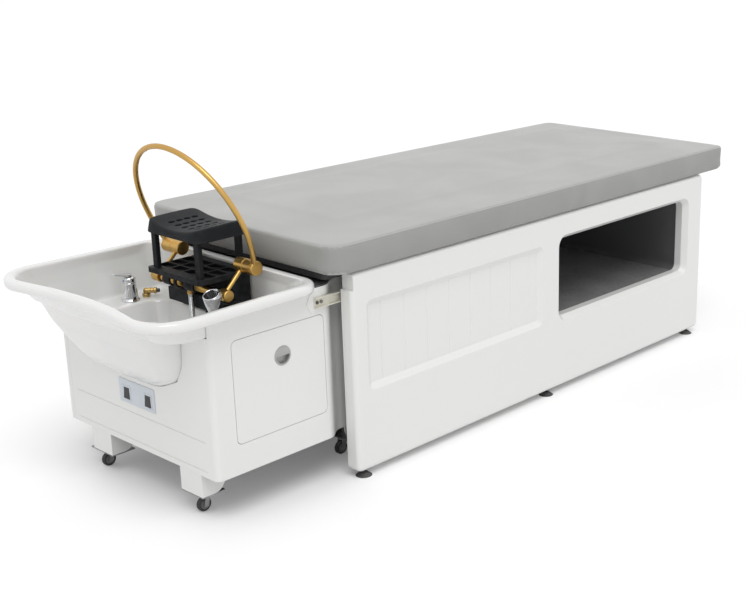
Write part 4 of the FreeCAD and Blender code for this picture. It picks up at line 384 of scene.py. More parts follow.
class NodeSheet:
    """Node tree with short calls to add and join nodes."""

    def __init__(self, tree: bpy.types.NodeTree) -> None:
        """Keep the tree that the nodes go into."""
        self.tree = tree

    def add(self, kind: str, inputs: dict | None = None, **settings: object) -> bpy.types.Node:
        """Add a node.

        Args:
            kind: Node type, without its ShaderNode prefix.
            inputs: Values or sockets for its inputs, by name or number.
            settings: Its own properties.
        Returns:
            The node.
        """
        node = self.tree.nodes.new("ShaderNode" + kind)
        for name, value in settings.items():
            setattr(node, name, value)
        for name, value in (inputs or {}).items():
            self.feed(node.inputs[name], value)
        return node

    def feed(self, socket: Socket, value: object) -> None:
        """Join a socket to another, or set its value."""
        if isinstance(value, Socket):
            self.tree.links.new(value, socket)
        else:
            socket.default_value = value

    def math(self, operation: str, first: object, second: object = 0.0) -> Socket:
        """Result of a Math node, clamped to 0 and 1."""
        node = self.add("Math", {0: first, 1: second}, operation=operation, use_clamp=True)
        return node.outputs[0]

    def noise(self, vector: object, scale: object, detail: float,
              distortion: float = 0.0) -> Socket:
        """Noise between 0 and 1."""
        return self.add("TexNoise", {"Vector": vector, "Scale": scale, "Detail": detail,
                                     "Distortion": distortion}).outputs[0]

    def ramp(self, value: object, low: float, high: float, ease: str = "LINEAR") -> Socket:
        """Share of the way from low to high, held between 0 and 1."""
        return self.add("MapRange", {"Value": value, "From Min": low, "From Max": high},
                        interpolation_type=ease).outputs[0]

    def multiply_add(self, first: object, second: object, third: object) -> Socket:
        """The first times the second, plus the third."""
        return self.add("Math", {0: first, 1: second, 2: third}, operation="MULTIPLY_ADD").outputs[0]

    def spread(self, value: object, low: float, high: float) -> Socket:
        """A value between 0 and 1 spread evenly between low and high."""
        return self.add("MapRange", {"Value": value, "To Min": low, "To Max": high}).outputs[0]

    def blend(self, share: object, first: object, second: object) -> Socket:
        """Colour between two others."""
        node = self.add("Mix", data_type="RGBA")
        self.feed(node.inputs["Factor"], share)
        self.feed(node.inputs[6], first)
        self.feed(node.inputs[7], second)
        return node.outputs[2]

    def place(self, stretch: Row = (1.0, 1.0, 1.0)) -> Socket:
        """Object coordinates, stretched along the three axes."""
        source = self.add("TexCoord").outputs["Object"]
        if stretch == (1.0, 1.0, 1.0):
            return source
        return self.add("Mapping", {"Vector": source, "Scale": stretch}).outputs[0]


def opaque(colour: Colour) -> tuple[float, float, float, float]:
    """Colour with full alpha."""
    return (*colour, 1.0)


class Effect(Enum):
    """Shared node groups: the values and masks that several finishes place with their own numbers."""

    GRAIN = "moulded_grain"
    WEAR = "edge_wear"
    DUST = "settled_dust"
    LEATHER = "leather_grain"
    BRUSHED = "brushed_lines"
    WEAVE = "plain_weave"


class EffectLibrary:
    """Builds each shared node group once."""

    INPUTS = {
        Effect.GRAIN: {"Scale": 900.0, "Softness": 3.0},
        Effect.WEAR: {"Amount": 0.5, "Scale": 60.0},
        Effect.DUST: {"Amount": 0.3, "Scale": 14.0},
        Effect.LEATHER: {"Scale": 420.0, "Crease": 9.0},
        Effect.BRUSHED: {"Scale": 900.0},
        Effect.WEAVE: {"Scale": 700.0},
    }
    OUTPUTS = {
        Effect.GRAIN: ("Height", "Tone"),
        Effect.WEAR: ("Mask",),
        Effect.DUST: ("Mask",),
        Effect.LEATHER: ("Height", "Tone"),
        Effect.BRUSHED: ("Height", "Tone"),
        Effect.WEAVE: ("Height", "Tone"),
    }

    def __init__(self) -> None:
        """Start with no group made."""
        self.made: dict[Effect, bpy.types.NodeTree] = {}

    def group(self, effect: Effect) -> bpy.types.NodeTree:
        """The node group of an effect, made on first use.

        Args:
            effect: Which effect.
        Returns:
            Its node tree.
        """
        if effect in self.made:
            return self.made[effect]
        tree = bpy.data.node_groups.new(effect.value, "ShaderNodeTree")
        tree.interface.new_socket("Vector", in_out="INPUT", socket_type="NodeSocketVector")
        for name, value in self.INPUTS[effect].items():
            socket = tree.interface.new_socket(name, in_out="INPUT", socket_type="NodeSocketFloat")
            socket.default_value = value
        for name in self.OUTPUTS[effect]:
            tree.interface.new_socket(name, in_out="OUTPUT", socket_type="NodeSocketFloat")
        sheet = NodeSheet(tree)
        given = tree.nodes.new("NodeGroupInput").outputs
        results = getattr(self, effect.name.lower())(sheet, given)
        exits = tree.nodes.new("NodeGroupOutput")
        for name, result in zip(self.OUTPUTS[effect], results):
            tree.links.new(result, exits.inputs[name])
        self.made[effect] = tree
        return tree

    def grain(self, sheet: NodeSheet, given: Outputs) -> Sockets:
        """Fine even grain of a moulding, and a slow drift of tone over the whole piece."""
        return [sheet.noise(given["Vector"], given["Scale"], 2.0),
                sheet.noise(given["Vector"], given["Softness"], 3.0)]

    def wear(self, sheet: NodeSheet, given: Outputs) -> Sockets:
        """Rubbed edges: the convex ones, broken up by noise."""
        convex = sheet.ramp(sheet.add("NewGeometry").outputs["Pointiness"], 0.51, 0.58)
        broken = sheet.ramp(sheet.noise(given["Vector"], given["Scale"], 4.0), 0.38, 0.62)
        return [sheet.math("MULTIPLY", sheet.math("MULTIPLY", convex, broken), given["Amount"])]

    def dust(self, sheet: NodeSheet, given: Outputs) -> Sockets:
        """Dust on faces that look up, in soft patches."""
        normal = sheet.add("SeparateXYZ", {0: sheet.add("NewGeometry").outputs["Normal"]}).outputs["Z"]
        upward = sheet.ramp(normal, 0.35, 0.95)
        patch = sheet.ramp(sheet.noise(given["Vector"], given["Scale"], 5.0), 0.35, 0.75)
        return [sheet.math("MULTIPLY", sheet.math("MULTIPLY", upward, patch), given["Amount"])]

    def leather(self, sheet: NodeSheet, given: Outputs) -> Sockets:
        """Pebbled grain: cells with soft borders, over slow creases."""
        cells = sheet.add("TexVoronoi", {"Vector": given["Vector"], "Scale": given["Scale"]},
                          feature="DISTANCE_TO_EDGE")
        pebble = sheet.ramp(cells.outputs[0], 0.0, 0.32, "SMOOTHSTEP")
        creases = sheet.noise(given["Vector"], given["Crease"], 5.0, 0.6)
        return [sheet.multiply_add(pebble, 0.25, creases), creases]

    def brushed(self, sheet: NodeSheet, given: Outputs) -> Sockets:
        """Fine parallel lines; the vector is stretched by whoever places the group."""
        return [sheet.noise(given["Vector"], given["Scale"], 3.0), sheet.noise(given["Vector"], 12.0, 2.0)]

    def weave(self, sheet: NodeSheet, given: Outputs) -> Sockets:
        """Threads over and under: the larger of two crossed waves, with a broken tone."""
        warp, weft = (sheet.add("TexWave", {"Vector": given["Vector"], "Scale": given["Scale"]},
                                bands_direction=way).outputs["Fac"] for way in "XY")
        return [sheet.math("MAXIMUM", warp, weft), sheet.noise(given["Vector"], 90.0, 4.0)]


EFFECTS = EffectLibrary()


@dataclass(frozen=True)
class Finish:
    """A material: its colours, gloss and the shared effects that it places."""

    name: str
    slot: str
    colour: Colour
    shade: Colour
    roughness: tuple[float, float]
    metallic: float = 0.0
    grain: Effect = Effect.GRAIN
    grain_inputs: Row = ()
    stretch: Row = (1.0, 1.0, 1.0)
    bump: float = 0.1
    bump_depth: float = 0.0002
    wear: float = 0.0
    wear_colour: Colour = (0.8, 0.8, 0.8)
    dust: float = 0.0
    dust_colour: Colour = (0.55, 0.53, 0.50)
    coat: float = 0.0
    coat_roughness: float = 0.08
    sheen: float = 0.0
    subsurface: float = 0.0
    specular: float = 0.5

    def effect(self, sheet: NodeSheet, effect: Effect, values: dict) -> bpy.types.Node:
        """Place a shared group with this finish's own values.

        Args:
            sheet: Node tree of the material.
            effect: Which group.
            values: Its input values by name.
        Returns:
            The group node.
        """
        node = sheet.tree.nodes.new("ShaderNodeGroup")
        node.node_tree = EFFECTS.group(effect)
        sheet.feed(node.inputs["Vector"], sheet.place(self.stretch))
        for name, value in values.items():
            node.inputs[name].default_value = value
        return node

    def material(self) -> bpy.types.Material:
        """The material, made on first use.

        Returns:
            A node material whose colour, roughness and normal vary over the surface.
        """
        found = bpy.data.materials.get(self.name)
        if found:
            return found
        material = bpy.data.materials.new(self.name)
        material.use_nodes = True
        material.diffuse_color = opaque(self.colour)
        sheet = NodeSheet(material.node_tree)
        shader = material.node_tree.nodes["Principled BSDF"]
        grain = self.effect(sheet, self.grain, dict(zip(EFFECTS.INPUTS[self.grain], self.grain_inputs)))
        tone = sheet.ramp(grain.outputs["Tone"], 0.2, 0.8, "SMOOTHERSTEP")
        colour = sheet.blend(tone, opaque(self.colour), opaque(self.shade))
        rough = sheet.spread(tone, *self.roughness)
        if self.wear > 0:
            mask = self.effect(sheet, Effect.WEAR, {"Amount": self.wear}).outputs[0]
            colour = sheet.blend(mask, colour, opaque(self.wear_colour))
        if self.dust > 0:
            mask = self.effect(sheet, Effect.DUST, {"Amount": self.dust}).outputs[0]
            colour = sheet.blend(mask, colour, opaque(self.dust_colour))
            rough = sheet.multiply_add(mask, DUST_ROUGHNESS, rough)
        bump = sheet.add("Bump", {"Strength": self.bump, "Distance": self.bump_depth,
                                  "Height": grain.outputs["Height"]})
        for name, value in {"Base Color": colour, "Roughness": rough, "Normal": bump.outputs[0],
                            "Metallic": self.metallic, "Coat Weight": self.coat,
                            "Coat Roughness": self.coat_roughness, "Sheen Weight": self.sheen,
                            "Subsurface Weight": self.subsurface,
                            "Specular IOR Level": self.specular}.items():
            sheet.feed(shader.inputs[name], value)
        return material


WHITE_PANEL = Finish("gloss_white_panel", "white_panel", (0.800, 0.800, 0.785), (0.796, 0.796, 0.781),
                     (0.29, 0.38), grain_inputs=(260.0, 2.2),
                     bump=0.05, bump_depth=0.0002, coat=0.35)
BASIN_WHITE = Finish("glazed_white_basin", "basin_white", (0.82, 0.82, 0.81), (0.80, 0.80, 0.788),
                     (0.10, 0.18), grain_inputs=(40.0, 3.0),
                     bump=0.05, bump_depth=0.0004, coat=0.6, coat_roughness=0.04, subsurface=0.03)
UPHOLSTERY = Finish("grey_synthetic_leather", "upholstery", (0.455, 0.455, 0.445), (0.43, 0.43, 0.418),
                    (0.44, 0.58), grain=Effect.LEATHER,
                    grain_inputs=(420.0, 5.0), bump=0.28, bump_depth=0.0012,
                    sheen=0.08, dust=0.03, specular=0.4)
# Darker copy of the top's upholstery for the pad's sideways faces: painted shade, the same leather as the
# top.
UPHOLSTERY_PAINTED_SHADE = Finish("grey_leather_painted_side_shade", "upholstery", (0.335, 0.335, 0.325), (0.31, 0.31, 0.30),
                         (0.46, 0.60), grain=Effect.LEATHER,
                         grain_inputs=(420.0, 7.0), bump=0.28,
                         bump_depth=0.0012, sheen=0.06, specular=0.4)
THREAD = Finish("grey_sewing_thread", "upholstery", (0.40, 0.40, 0.39), (0.33, 0.33, 0.32),
                (0.6, 0.8), grain_inputs=(2500.0, 60.0), bump=0.4)
DARK_BOARD = Finish("dark_covered_board", "dark_board", (0.030, 0.030, 0.032), (0.045, 0.045, 0.046),
                    (0.6, 0.8), grain=Effect.WEAVE, grain_inputs=(900.0,), bump=0.3,
                    dust=0.08)
NICHE_LINING = Finish("charcoal_niche_lining", "niche_lining", (0.095, 0.096, 0.100), (0.115, 0.116, 0.120),
                      (0.50, 0.68), grain_inputs=(700.0, 4.0), bump=0.2,
                      dust=0.10, wear=0.15, wear_colour=(0.12, 0.12, 0.12))
NICHE_MAT = Finish("grey_niche_mat", "niche_mat", (0.170, 0.170, 0.171), (0.140, 0.140, 0.141),
                   (0.75, 0.9), grain=Effect.WEAVE, grain_inputs=(420.0,), bump=0.5,
                   bump_depth=0.0004, sheen=0.1, dust=0.12)
FRAME_STEEL = Finish("dark_powder_coat", "frame_steel", (0.032, 0.032, 0.034), (0.045, 0.045, 0.047),
                     (0.42, 0.58), grain_inputs=(1200.0, 8.0), bump=0.3,
                     wear=0.35, wear_colour=(0.25, 0.25, 0.25), dust=0.2)
BRACKET_STEEL = Finish("grey_zinc_bracket", "bracket_steel", (0.34, 0.34, 0.34), (0.26, 0.26, 0.265),
                       (0.30, 0.46), metallic=0.85, grain_inputs=(220.0, 30.0),
                       bump=0.12, wear=0.3, wear_colour=(0.6, 0.6, 0.6), dust=0.1)
BLACK_RUBBER = Finish("black_caster_rubber", "black_rubber", (0.028, 0.028, 0.028), (0.045, 0.044, 0.042),
                      (0.62, 0.85), grain_inputs=(1500.0, 40.0), bump=0.3,
                      wear=0.25, wear_colour=(0.12, 0.12, 0.12), dust=0.25)
HUB_GREY = Finish("grey_moulded_hub", "hub_grey", (0.20, 0.20, 0.205), (0.15, 0.15, 0.155),
                  (0.35, 0.5), grain_inputs=(1500.0, 30.0), bump=0.15,
                  wear=0.2, wear_colour=(0.4, 0.4, 0.4))
BLACK_PLASTIC = Finish("satin_black_plastic", "black_plastic", (0.014, 0.014, 0.015), (0.020, 0.020, 0.021),
                       (0.30, 0.42), grain_inputs=(1800.0, 30.0), bump=0.12,
                       wear=0.2, wear_colour=(0.07, 0.07, 0.07))
HEADREST_BLACK = Finish("matt_black_moulding", "headrest_black", (0.007, 0.008, 0.010),
                        (0.011, 0.012, 0.014), (0.46, 0.60),
                        grain_inputs=(1500.0, 14.0), bump=0.30,
                        bump_depth=0.0002, wear=0.3, wear_colour=(0.05, 0.055, 0.06), dust=0.03,
                        dust_colour=(0.20, 0.20, 0.20), specular=0.16)
CHROME = Finish("polished_chrome", "chrome", (0.78, 0.79, 0.80), (0.70, 0.71, 0.73), (0.04, 0.10),
                metallic=1.0, grain_inputs=(60.0, 40.0), bump=0.02)
GOLD_TUBE = Finish("brushed_gold_tube", "gold_tube", (0.66, 0.42, 0.13), (0.56, 0.34, 0.10),
                   (0.28, 0.37), metallic=1.0, grain=Effect.BRUSHED,
                   grain_inputs=(1200.0,), stretch=(1.0, 0.06, 1.0), bump=0.10,
                   bump_depth=0.0001, wear=0.25, wear_colour=(0.80, 0.60, 0.28))
BRASS_FITTING = Finish("machined_brass", "brass_fitting", (0.52, 0.36, 0.14), (0.40, 0.27, 0.10),
                       (0.26, 0.40), metallic=1.0, grain=Effect.BRUSHED,
                       grain_inputs=(2200.0,), stretch=(1.0, 1.0, 0.1), bump=0.2,
                       bump_depth=0.0001, wear=0.4, wear_colour=(0.75, 0.58, 0.30))
CONTROL_PLATE = Finish("pale_control_plate", "control_plate", (0.62, 0.67, 0.72), (0.58, 0.63, 0.68),
                       (0.28, 0.38), grain_inputs=(900.0, 12.0), bump=0.05,
                       wear=0.1)
CREAM_CHANNEL = Finish("cream_painted_channel", "cream_channel", (0.74, 0.72, 0.62), (0.68, 0.66, 0.56),
                       (0.30, 0.45), grain_inputs=(500.0, 12.0), bump=0.1,
                       wear=0.3, wear_colour=(0.45, 0.44, 0.40), dust=0.08)
DARK_SCREW = Finish("black_oxide_screw", "dark_screw", (0.05, 0.05, 0.05), (0.09, 0.085, 0.08),
                    (0.3, 0.45), metallic=0.9, grain_inputs=(900.0, 90.0),
                    bump=0.1, wear=0.5, wear_colour=(0.35, 0.34, 0.32))
PULL_GREY = Finish("satin_grey_pull", "pull_grey", (0.42, 0.42, 0.41), (0.34, 0.34, 0.335),
                   (0.28, 0.40), metallic=0.75, grain=Effect.BRUSHED,
                   grain_inputs=(1500.0,), stretch=(0.08, 1.0, 1.0), bump=0.15,
                   bump_depth=0.0001, wear=0.3, wear_colour=(0.65, 0.65, 0.64))
HOSE_CHROME = Finish("spiral_hose_chrome", "hose_grey", (0.66, 0.67, 0.68), (0.52, 0.53, 0.55),
                     (0.14, 0.24), metallic=1.0, grain_inputs=(300.0, 60.0),
                     bump=0.04)
PIPE_PLASTIC = Finish("grey_pipe_plastic", "pipe_plastic", (0.30, 0.30, 0.31), (0.25, 0.25, 0.26),
                      (0.4, 0.55), grain_inputs=(700.0, 10.0), bump=0.1,
                      dust=0.15)
TANK_PLASTIC = Finish("natural_tank_plastic", "tank_plastic", (0.66, 0.66, 0.62), (0.60, 0.60, 0.55),
                      (0.4, 0.55), grain_inputs=(700.0, 8.0), bump=0.12,
                      subsurface=0.05, dust=0.12)
COLD_BLUE = Finish("blue_tap_index", "chrome", (0.02, 0.05, 0.45), (0.03, 0.07, 0.52), (0.15, 0.25),
                   grain_inputs=(900.0, 90.0), bump=0.02, coat=0.5)


@dataclass(frozen=True)
class Seat:
    """Where a finished piece belongs: the body it moves with and the construction pieces it stands for."""

    body: str
    replaces: tuple[str, ...] = ()


@dataclass(frozen=True)
class EdgeFinish:
    """How a piece's edges are shaded and rounded, in metres and degrees."""

    sharp: float = 38.0
    bevel: float = 0.0
    segments: int = 2


class Workshop:
    """Makes the finished objects and keeps their names."""

    def __init__(self) -> None:
        """Start with nothing made."""
        self.pieces: dict[str, bpy.types.Object] = {}

    def from_surface(self, name: str, surface: Surface, finish: Finish, seat: Seat,
                     edges: EdgeFinish = EdgeFinish()) -> bpy.types.Object:
        """Make a piece from a surface.

        Args:
            name: The piece's name.
            surface: Its points and faces.
            finish: Its material.
            seat: Its body and the construction pieces that it stands for.
            edges: How its edges are finished.
        Returns:
            The object.
        """
        mesh = bpy.data.meshes.new(name)
        faces = surface.quads.tolist() + [cap.tolist() for cap in surface.caps]
        mesh.from_pydata(surface.points.tolist(), [], faces)
        self.weld(mesh)
        return self.stand(name, mesh, finish, seat, edges)

    def from_nodes(self, finish: Finish, edges: EdgeFinish, *nodes: str) -> None:
        """Carry construction pieces over with welded faces and eased edges.

        Args:
            finish: Their material.
            edges: How their edges are finished.
            nodes: The construction pieces, each of which gets a piece that stands for it.
        """
        for node in nodes:
            mesh = frame["nodes"][node].data.copy()
            mesh.materials.clear()
            self.weld(mesh)
            seat = Seat(frame["nodes"][node]["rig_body"], (node,))
            self.stand(node + "_skin", mesh, finish, seat, edges)

    def weld(self, mesh: bpy.types.Mesh) -> None:
        """Merge a mesh's doubled points, and drop its empty faces, map layers and own normals."""
        work = bmesh.new()
        work.from_mesh(mesh)
        bmesh.ops.remove_doubles(work, verts=work.verts, dist=WELD)
        bmesh.ops.dissolve_degenerate(work, edges=work.edges, dist=WELD)
        work.to_mesh(mesh)
        work.free()
        for layer in list(mesh.uv_layers):
            mesh.uv_layers.remove(layer)
        if "custom_normal" in mesh.attributes:
            mesh.attributes.remove(mesh.attributes["custom_normal"])

    def stand(self, name: str, mesh: bpy.types.Mesh, finish: Finish, seat: Seat,
              edges: EdgeFinish) -> bpy.types.Object:
        """Put a mesh into the scene as a finished piece on its body."""
        piece = bpy.data.objects.new(name, mesh)
        bpy.context.scene.collection.objects.link(piece)
        mesh.name = name
        mesh.materials.append(finish.material())
        mesh.shade_smooth()
        if edges.bevel > 0:
            bevel = piece.modifiers.new("eased_edges", "BEVEL")
            bevel.width = edges.bevel
            bevel.segments = edges.segments
            bevel.limit_method = "ANGLE"
            bevel.angle_limit = math.radians(edges.sharp)
            bevel.use_clamp_overlap = True
        else:
            mesh.set_sharp_from_angle(angle=math.radians(edges.sharp))
        normals = piece.modifiers.new("flat_faces_stay_flat", "WEIGHTED_NORMAL")
        normals.keep_sharp = True
        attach(piece, seat.body)
        if seat.replaces:
            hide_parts(*seat.replaces)
        self.pieces[name] = piece
        return piece

    def finished(self, piece: bpy.types.Object) -> bpy.types.Mesh:
        """The piece's mesh with all its modifiers applied."""
        bpy.context.view_layer.update()
        graph = bpy.context.evaluated_depsgraph_get()
        return bpy.data.meshes.new_from_object(piece.evaluated_get(graph))


SHOP = Workshop()


@dataclass
class Photographer:
    """Camera at the photograph's viewing angle, with the floor, the backdrop light and the lamps."""

    place: Row = (-2.349, -2.397, 1.290)
    heading: float = 0.71087
    dip: float = 0.29799
    roll: float = -0.0035
    focal_pixels: float = 1288.4
    frame_width: float = 745.0
    optical_axis_pixel: float = 513.75
    sensor: float = 36.0
    floor_size: float = 60.0
    floor_colour: Colour = (0.90, 0.90, 0.90)
    floor_glow: float = 0.12
    floor_roughness: float = 0.85
    floor_specular: float = 0.1
    sky: float = 0.72
    key_strength: float = 1.10
    key_softness: float = math.radians(35.0)
    key_tilt: float = math.radians(30.0)
    key_turn: float = math.radians(-34.0)

    def camera(self) -> None:
        """Set the camera: its forward, right and upward directions from heading, dip and roll."""
        ahead = Vector((math.cos(self.heading) * math.cos(self.dip),
                        math.sin(self.heading) * math.cos(self.dip), -math.sin(self.dip)))
        right = Vector((math.sin(self.heading), -math.cos(self.heading), 0.0))
        upward = right.cross(ahead)
        turn = Matrix.Rotation(-self.roll, 3, ahead)
        axes = Matrix((turn @ right, turn @ upward, -ahead)).transposed()
        lens = bpy.data.cameras.new("photograph_view")
        lens.sensor_width = self.sensor
        lens.lens = self.sensor * self.focal_pixels / self.frame_width
        lens.shift_x = 0.5 - self.optical_axis_pixel / self.frame_width
        camera = bpy.data.objects.new("photograph_view", lens)
        camera.matrix_world = Matrix.Translation(self.place) @ axes.to_4x4()
        bpy.context.scene.collection.objects.link(camera)
        bpy.context.scene.camera = camera

    def floor(self) -> None:
        """Plain pale floor that takes the object's shadow and runs out white to the camera."""
        half = self.floor_size / 2
        corners = [(-half, -half, 0.0), (half, -half, 0.0), (half, half, 0.0), (-half, half, 0.0)]
        mesh = bpy.data.meshes.new("studio_floor")
        mesh.from_pydata(corners, [], [(0, 1, 2, 3)])
        floor = bpy.data.objects.new("studio_floor", mesh)
        bpy.context.scene.collection.objects.link(floor)
        material = bpy.data.materials.new("pale_studio_floor")
        material.use_nodes = True
        sheet = NodeSheet(material.node_tree)
        shader = material.node_tree.nodes["Principled BSDF"]
        seen = sheet.add("LightPath").outputs["Is Camera Ray"]
        for name, value in {"Base Color": opaque(self.floor_colour), "Roughness": self.floor_roughness,
                            "Specular IOR Level": self.floor_specular, "Emission Color": opaque(WHITE),
                            "Emission Strength": sheet.spread(seen, 0.0, self.floor_glow)}.items():
            sheet.feed(shader.inputs[name], value)
        mesh.materials.append(material)

    def light(self) -> None:
        """Soft sky from all round, white to the camera and in reflections, with one wide key light."""
        world = bpy.data.worlds.new("studio_sky")
        bpy.context.scene.world = world
        world.use_nodes = True
        sheet = NodeSheet(world.node_tree)
        path = sheet.add("LightPath")
        seen = sheet.math("ADD", path.outputs["Is Camera Ray"], path.outputs["Is Glossy Ray"])
        seen = sheet.math("ADD", seen, path.outputs["Is Transmission Ray"])
        background = world.node_tree.nodes["Background"]
        background.inputs["Color"].default_value = opaque(WHITE)
        sheet.feed(background.inputs["Strength"], sheet.spread(seen, self.sky, 1.0))
        key = bpy.data.lights.new("key_light", "SUN")
        key.energy = self.key_strength
        key.angle = self.key_softness
        lamp = bpy.data.objects.new("key_light", key)
        lamp.rotation_euler = (self.key_tilt, 0.0, self.key_turn)
        bpy.context.scene.collection.objects.link(lamp)


@dataclass
class Mattress:
    """Padded mattress: a crowned pad with drawn-in sides, swelled between its sewn edges."""

    side: float = 70 * MM
    head_radius: float = 52 * MM
    foot_radius: float = 28 * MM
    crown_run: float = 150 * MM
    crown_share: Row = (0.0, 0.02, 0.08, 0.25, 0.55, 1.0)
    crown_inset_share: Row = (0.04, 0.22, 0.50, 0.75, 0.92, 1.0)
    slack: float = 1.5 * MM
    edge_roll: float = 6 * MM
    side_levels_share: Row = (0.0, 0.04, 0.10, 0.30, 0.50, 0.70, 0.93, 1.0)
    side_inset_share: Row = (1.0, 0.35, 0.10, 0.26, 0.34, 0.26, 0.05, 0.30)
    voxel: float = 9 * MM
    held_foot: float = 4 * MM
    cloth: tuple[tuple[str, float], ...] = (
        ("quality", 5), ("mass", 0.4), ("tension_stiffness", 25), ("compression_stiffness", 25),
        ("bending_stiffness", 2), ("use_pressure", True), ("uniform_pressure_force", 4.0))
    frames: int = 20
    cap: float = 6 * MM
    seam_half: float = 7 * MM
    stitch_inset: float = 7 * MM
    stitch_pitch: float = 6.5 * MM
    stitch_length: float = 4.2 * MM
    stitch_radius: float = 0.55 * MM
    stitch_above: float = 0.55 * MM
    stitch_share: Row = (0.0, 0.12, 0.5, 0.88, 1.0)
    stitch_width_share: Row = (0.35, 0.85, 1.0, 0.85, 0.35)
    stitch_lift_share: Row = (-0.5, 0.2, 0.5, 0.2, -0.5)
    welt_radius: float = 1.3 * MM
    welt_out: float = 0.6 * MM
    welt_above: float = 0.4 * MM
    board_edge: float = 1.5 * MM
    # Faces whose normal rises less than this get the painted side shade.
    sideways: float = 0.6
    pucker_depth: float = 0.5 * MM
    pucker_pitch: float = 34 * MM
    pucker_slant: float = 0.37
    pucker_drift: float = 1.7
    pucker_drift_rate: float = 9.0
    pucker_fade: float = 14 * MM
    pucker_over: float = 4 * MM
    long_side: float = 30 * MM

    def corners(self, inset: np.ndarray) -> np.ndarray:
        """Corners of the outline drawn in by each inset, round at the head and tighter at the foot."""
        low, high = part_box("mattress")
        inset = np.asarray(inset, float)
        left, right = low.x + inset, high.x - inset
        near, far = low.y + inset, high.y - inset
        head = np.maximum(self.head_radius - inset, 12 * MM)
        foot = np.maximum(self.foot_radius - inset, 6 * MM)
        rows = [(left, near, head), (right, near, foot), (right, far, foot), (left, far, head)]
        return np.stack([np.stack(row, -1) for row in rows], -2)

    def loops(self) -> np.ndarray:
        """Loops from the underside to the crown.

        Up the side the outline is drawn in by shares of the edge roll; over the top it is drawn in
        by shares of the crown's run while the level rises by shares of the crown.

        Returns:
            (L, N, 3) loops.
        """
        low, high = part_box("mattress")
        side_level = low.z + np.array(self.side_levels_share) * self.side
        side_inset = np.array(self.side_inset_share) * self.edge_roll + self.slack
        crown = high.z - low.z - self.side - self.slack
        top_inset = np.array(self.crown_inset_share) * self.crown_run + self.slack
        top_level = low.z + self.side + np.array(self.crown_share) * crown
        inset = np.concatenate([side_inset, top_inset])
        level = np.concatenate([side_level, top_level])
        return at_levels(rounded(self.corners(inset), 14, 30), level)

    def swell(self, piece: bpy.types.Object) -> None:
        """Swell the pad like a cushion between its sewn edge and its underside, which stay put."""
        piece.modifiers.clear()
        shape = piece.modifiers.new("even_faces", "REMESH")
        shape.mode = "VOXEL"
        shape.voxel_size = self.voxel
        piece.data = SHOP.finished(piece)
        piece.modifiers.clear()
        start = points_of(piece.data)
        low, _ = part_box("mattress")
        seam = np.abs(start[:, 2] - low.z - self.side) < self.seam_half * 0.6
        held = np.where(seam & self.near_edge(start) | (start[:, 2] < low.z + self.held_foot))[0]
        group = piece.vertex_groups.new(name="sewn")
        group.add(held.tolist(), 1.0, "REPLACE")
        cloth = piece.modifiers.new("padding", "CLOTH")
        for name, value in self.cloth:
            setattr(cloth.settings, name, value)
        cloth.settings.vertex_group_mass = "sewn"
        cloth.settings.effector_weights.gravity = 0
        cloth.point_cache.frame_start = 1
        cloth.point_cache.frame_end = self.frames
        for number in range(1, self.frames + 1):
            bpy.context.scene.frame_set(number)
        move = points_of(SHOP.finished(piece)) - start
        length = np.linalg.norm(move, axis=1, keepdims=True)
        move = move * np.minimum(1, self.cap / np.maximum(length, 1e-9))
        piece.modifiers.clear()
        piece.vertex_groups.clear()
        piece.data.vertices.foreach_set("co", (start + move).ravel())
        piece.data.update()
        bpy.context.scene.frame_set(1)

    def near_edge(self, points: np.ndarray) -> np.ndarray:
        """Which points lie near the outline: the distance inside a rounded rectangle is small."""
        low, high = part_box("mattress")
        inside = np.minimum(np.minimum(points[:, 0] - low.x, high.x - points[:, 0]),
                            np.minimum(points[:, 1] - low.y, high.y - points[:, 1]))
        corner_y = np.abs(points[:, 1]) - (high.y - self.head_radius)
        corner_x = low.x + self.head_radius - points[:, 0]
        in_corner = (corner_x > 0) & (corner_y > 0)
        radial = self.head_radius - np.hypot(corner_x, corner_y)
        return np.where(in_corner, radial, inside) < self.stitch_inset + self.seam_half

    def gather(self, piece: bpy.types.Object) -> None:
        """Draw the side in by small regular puckers below the seam.

        The depth is a raised cosine of the distance along the outline, with a slow drift of its
        phase, fading with the distance below the seam. It pulls the points of the long sides across
        the bed, and the others towards the bed's middle.
        """
        low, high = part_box("mattress")
        points = points_of(piece.data)
        along = points[:, 0] + np.sign(points[:, 1]) * self.pucker_slant * points[:, 1]
        drift = self.pucker_drift * np.sin(self.pucker_drift_rate * along)
        wave = 0.5 + 0.5 * np.cos(2 * math.pi * along / self.pucker_pitch + drift)
        below = low.z + self.side - points[:, 2]
        fade = np.exp(-(below / self.pucker_fade) ** 2) * (below > -self.pucker_over)
        pull = self.pucker_depth * wave * fade * self.near_edge(points)
        middle = np.array(((low.x + high.x) / 2, 0.0))
        way = unit(middle - points[:, :2])
        straight = np.stack([0 * way[:, 0], -np.sign(points[:, 1])], -1)
        way = np.where(np.abs(points[:, 1:2]) > high.y - self.long_side, straight, way)
        points[:, :2] += way * pull[:, None]
        piece.data.vertices.foreach_set("co", points.ravel())
        piece.data.update()

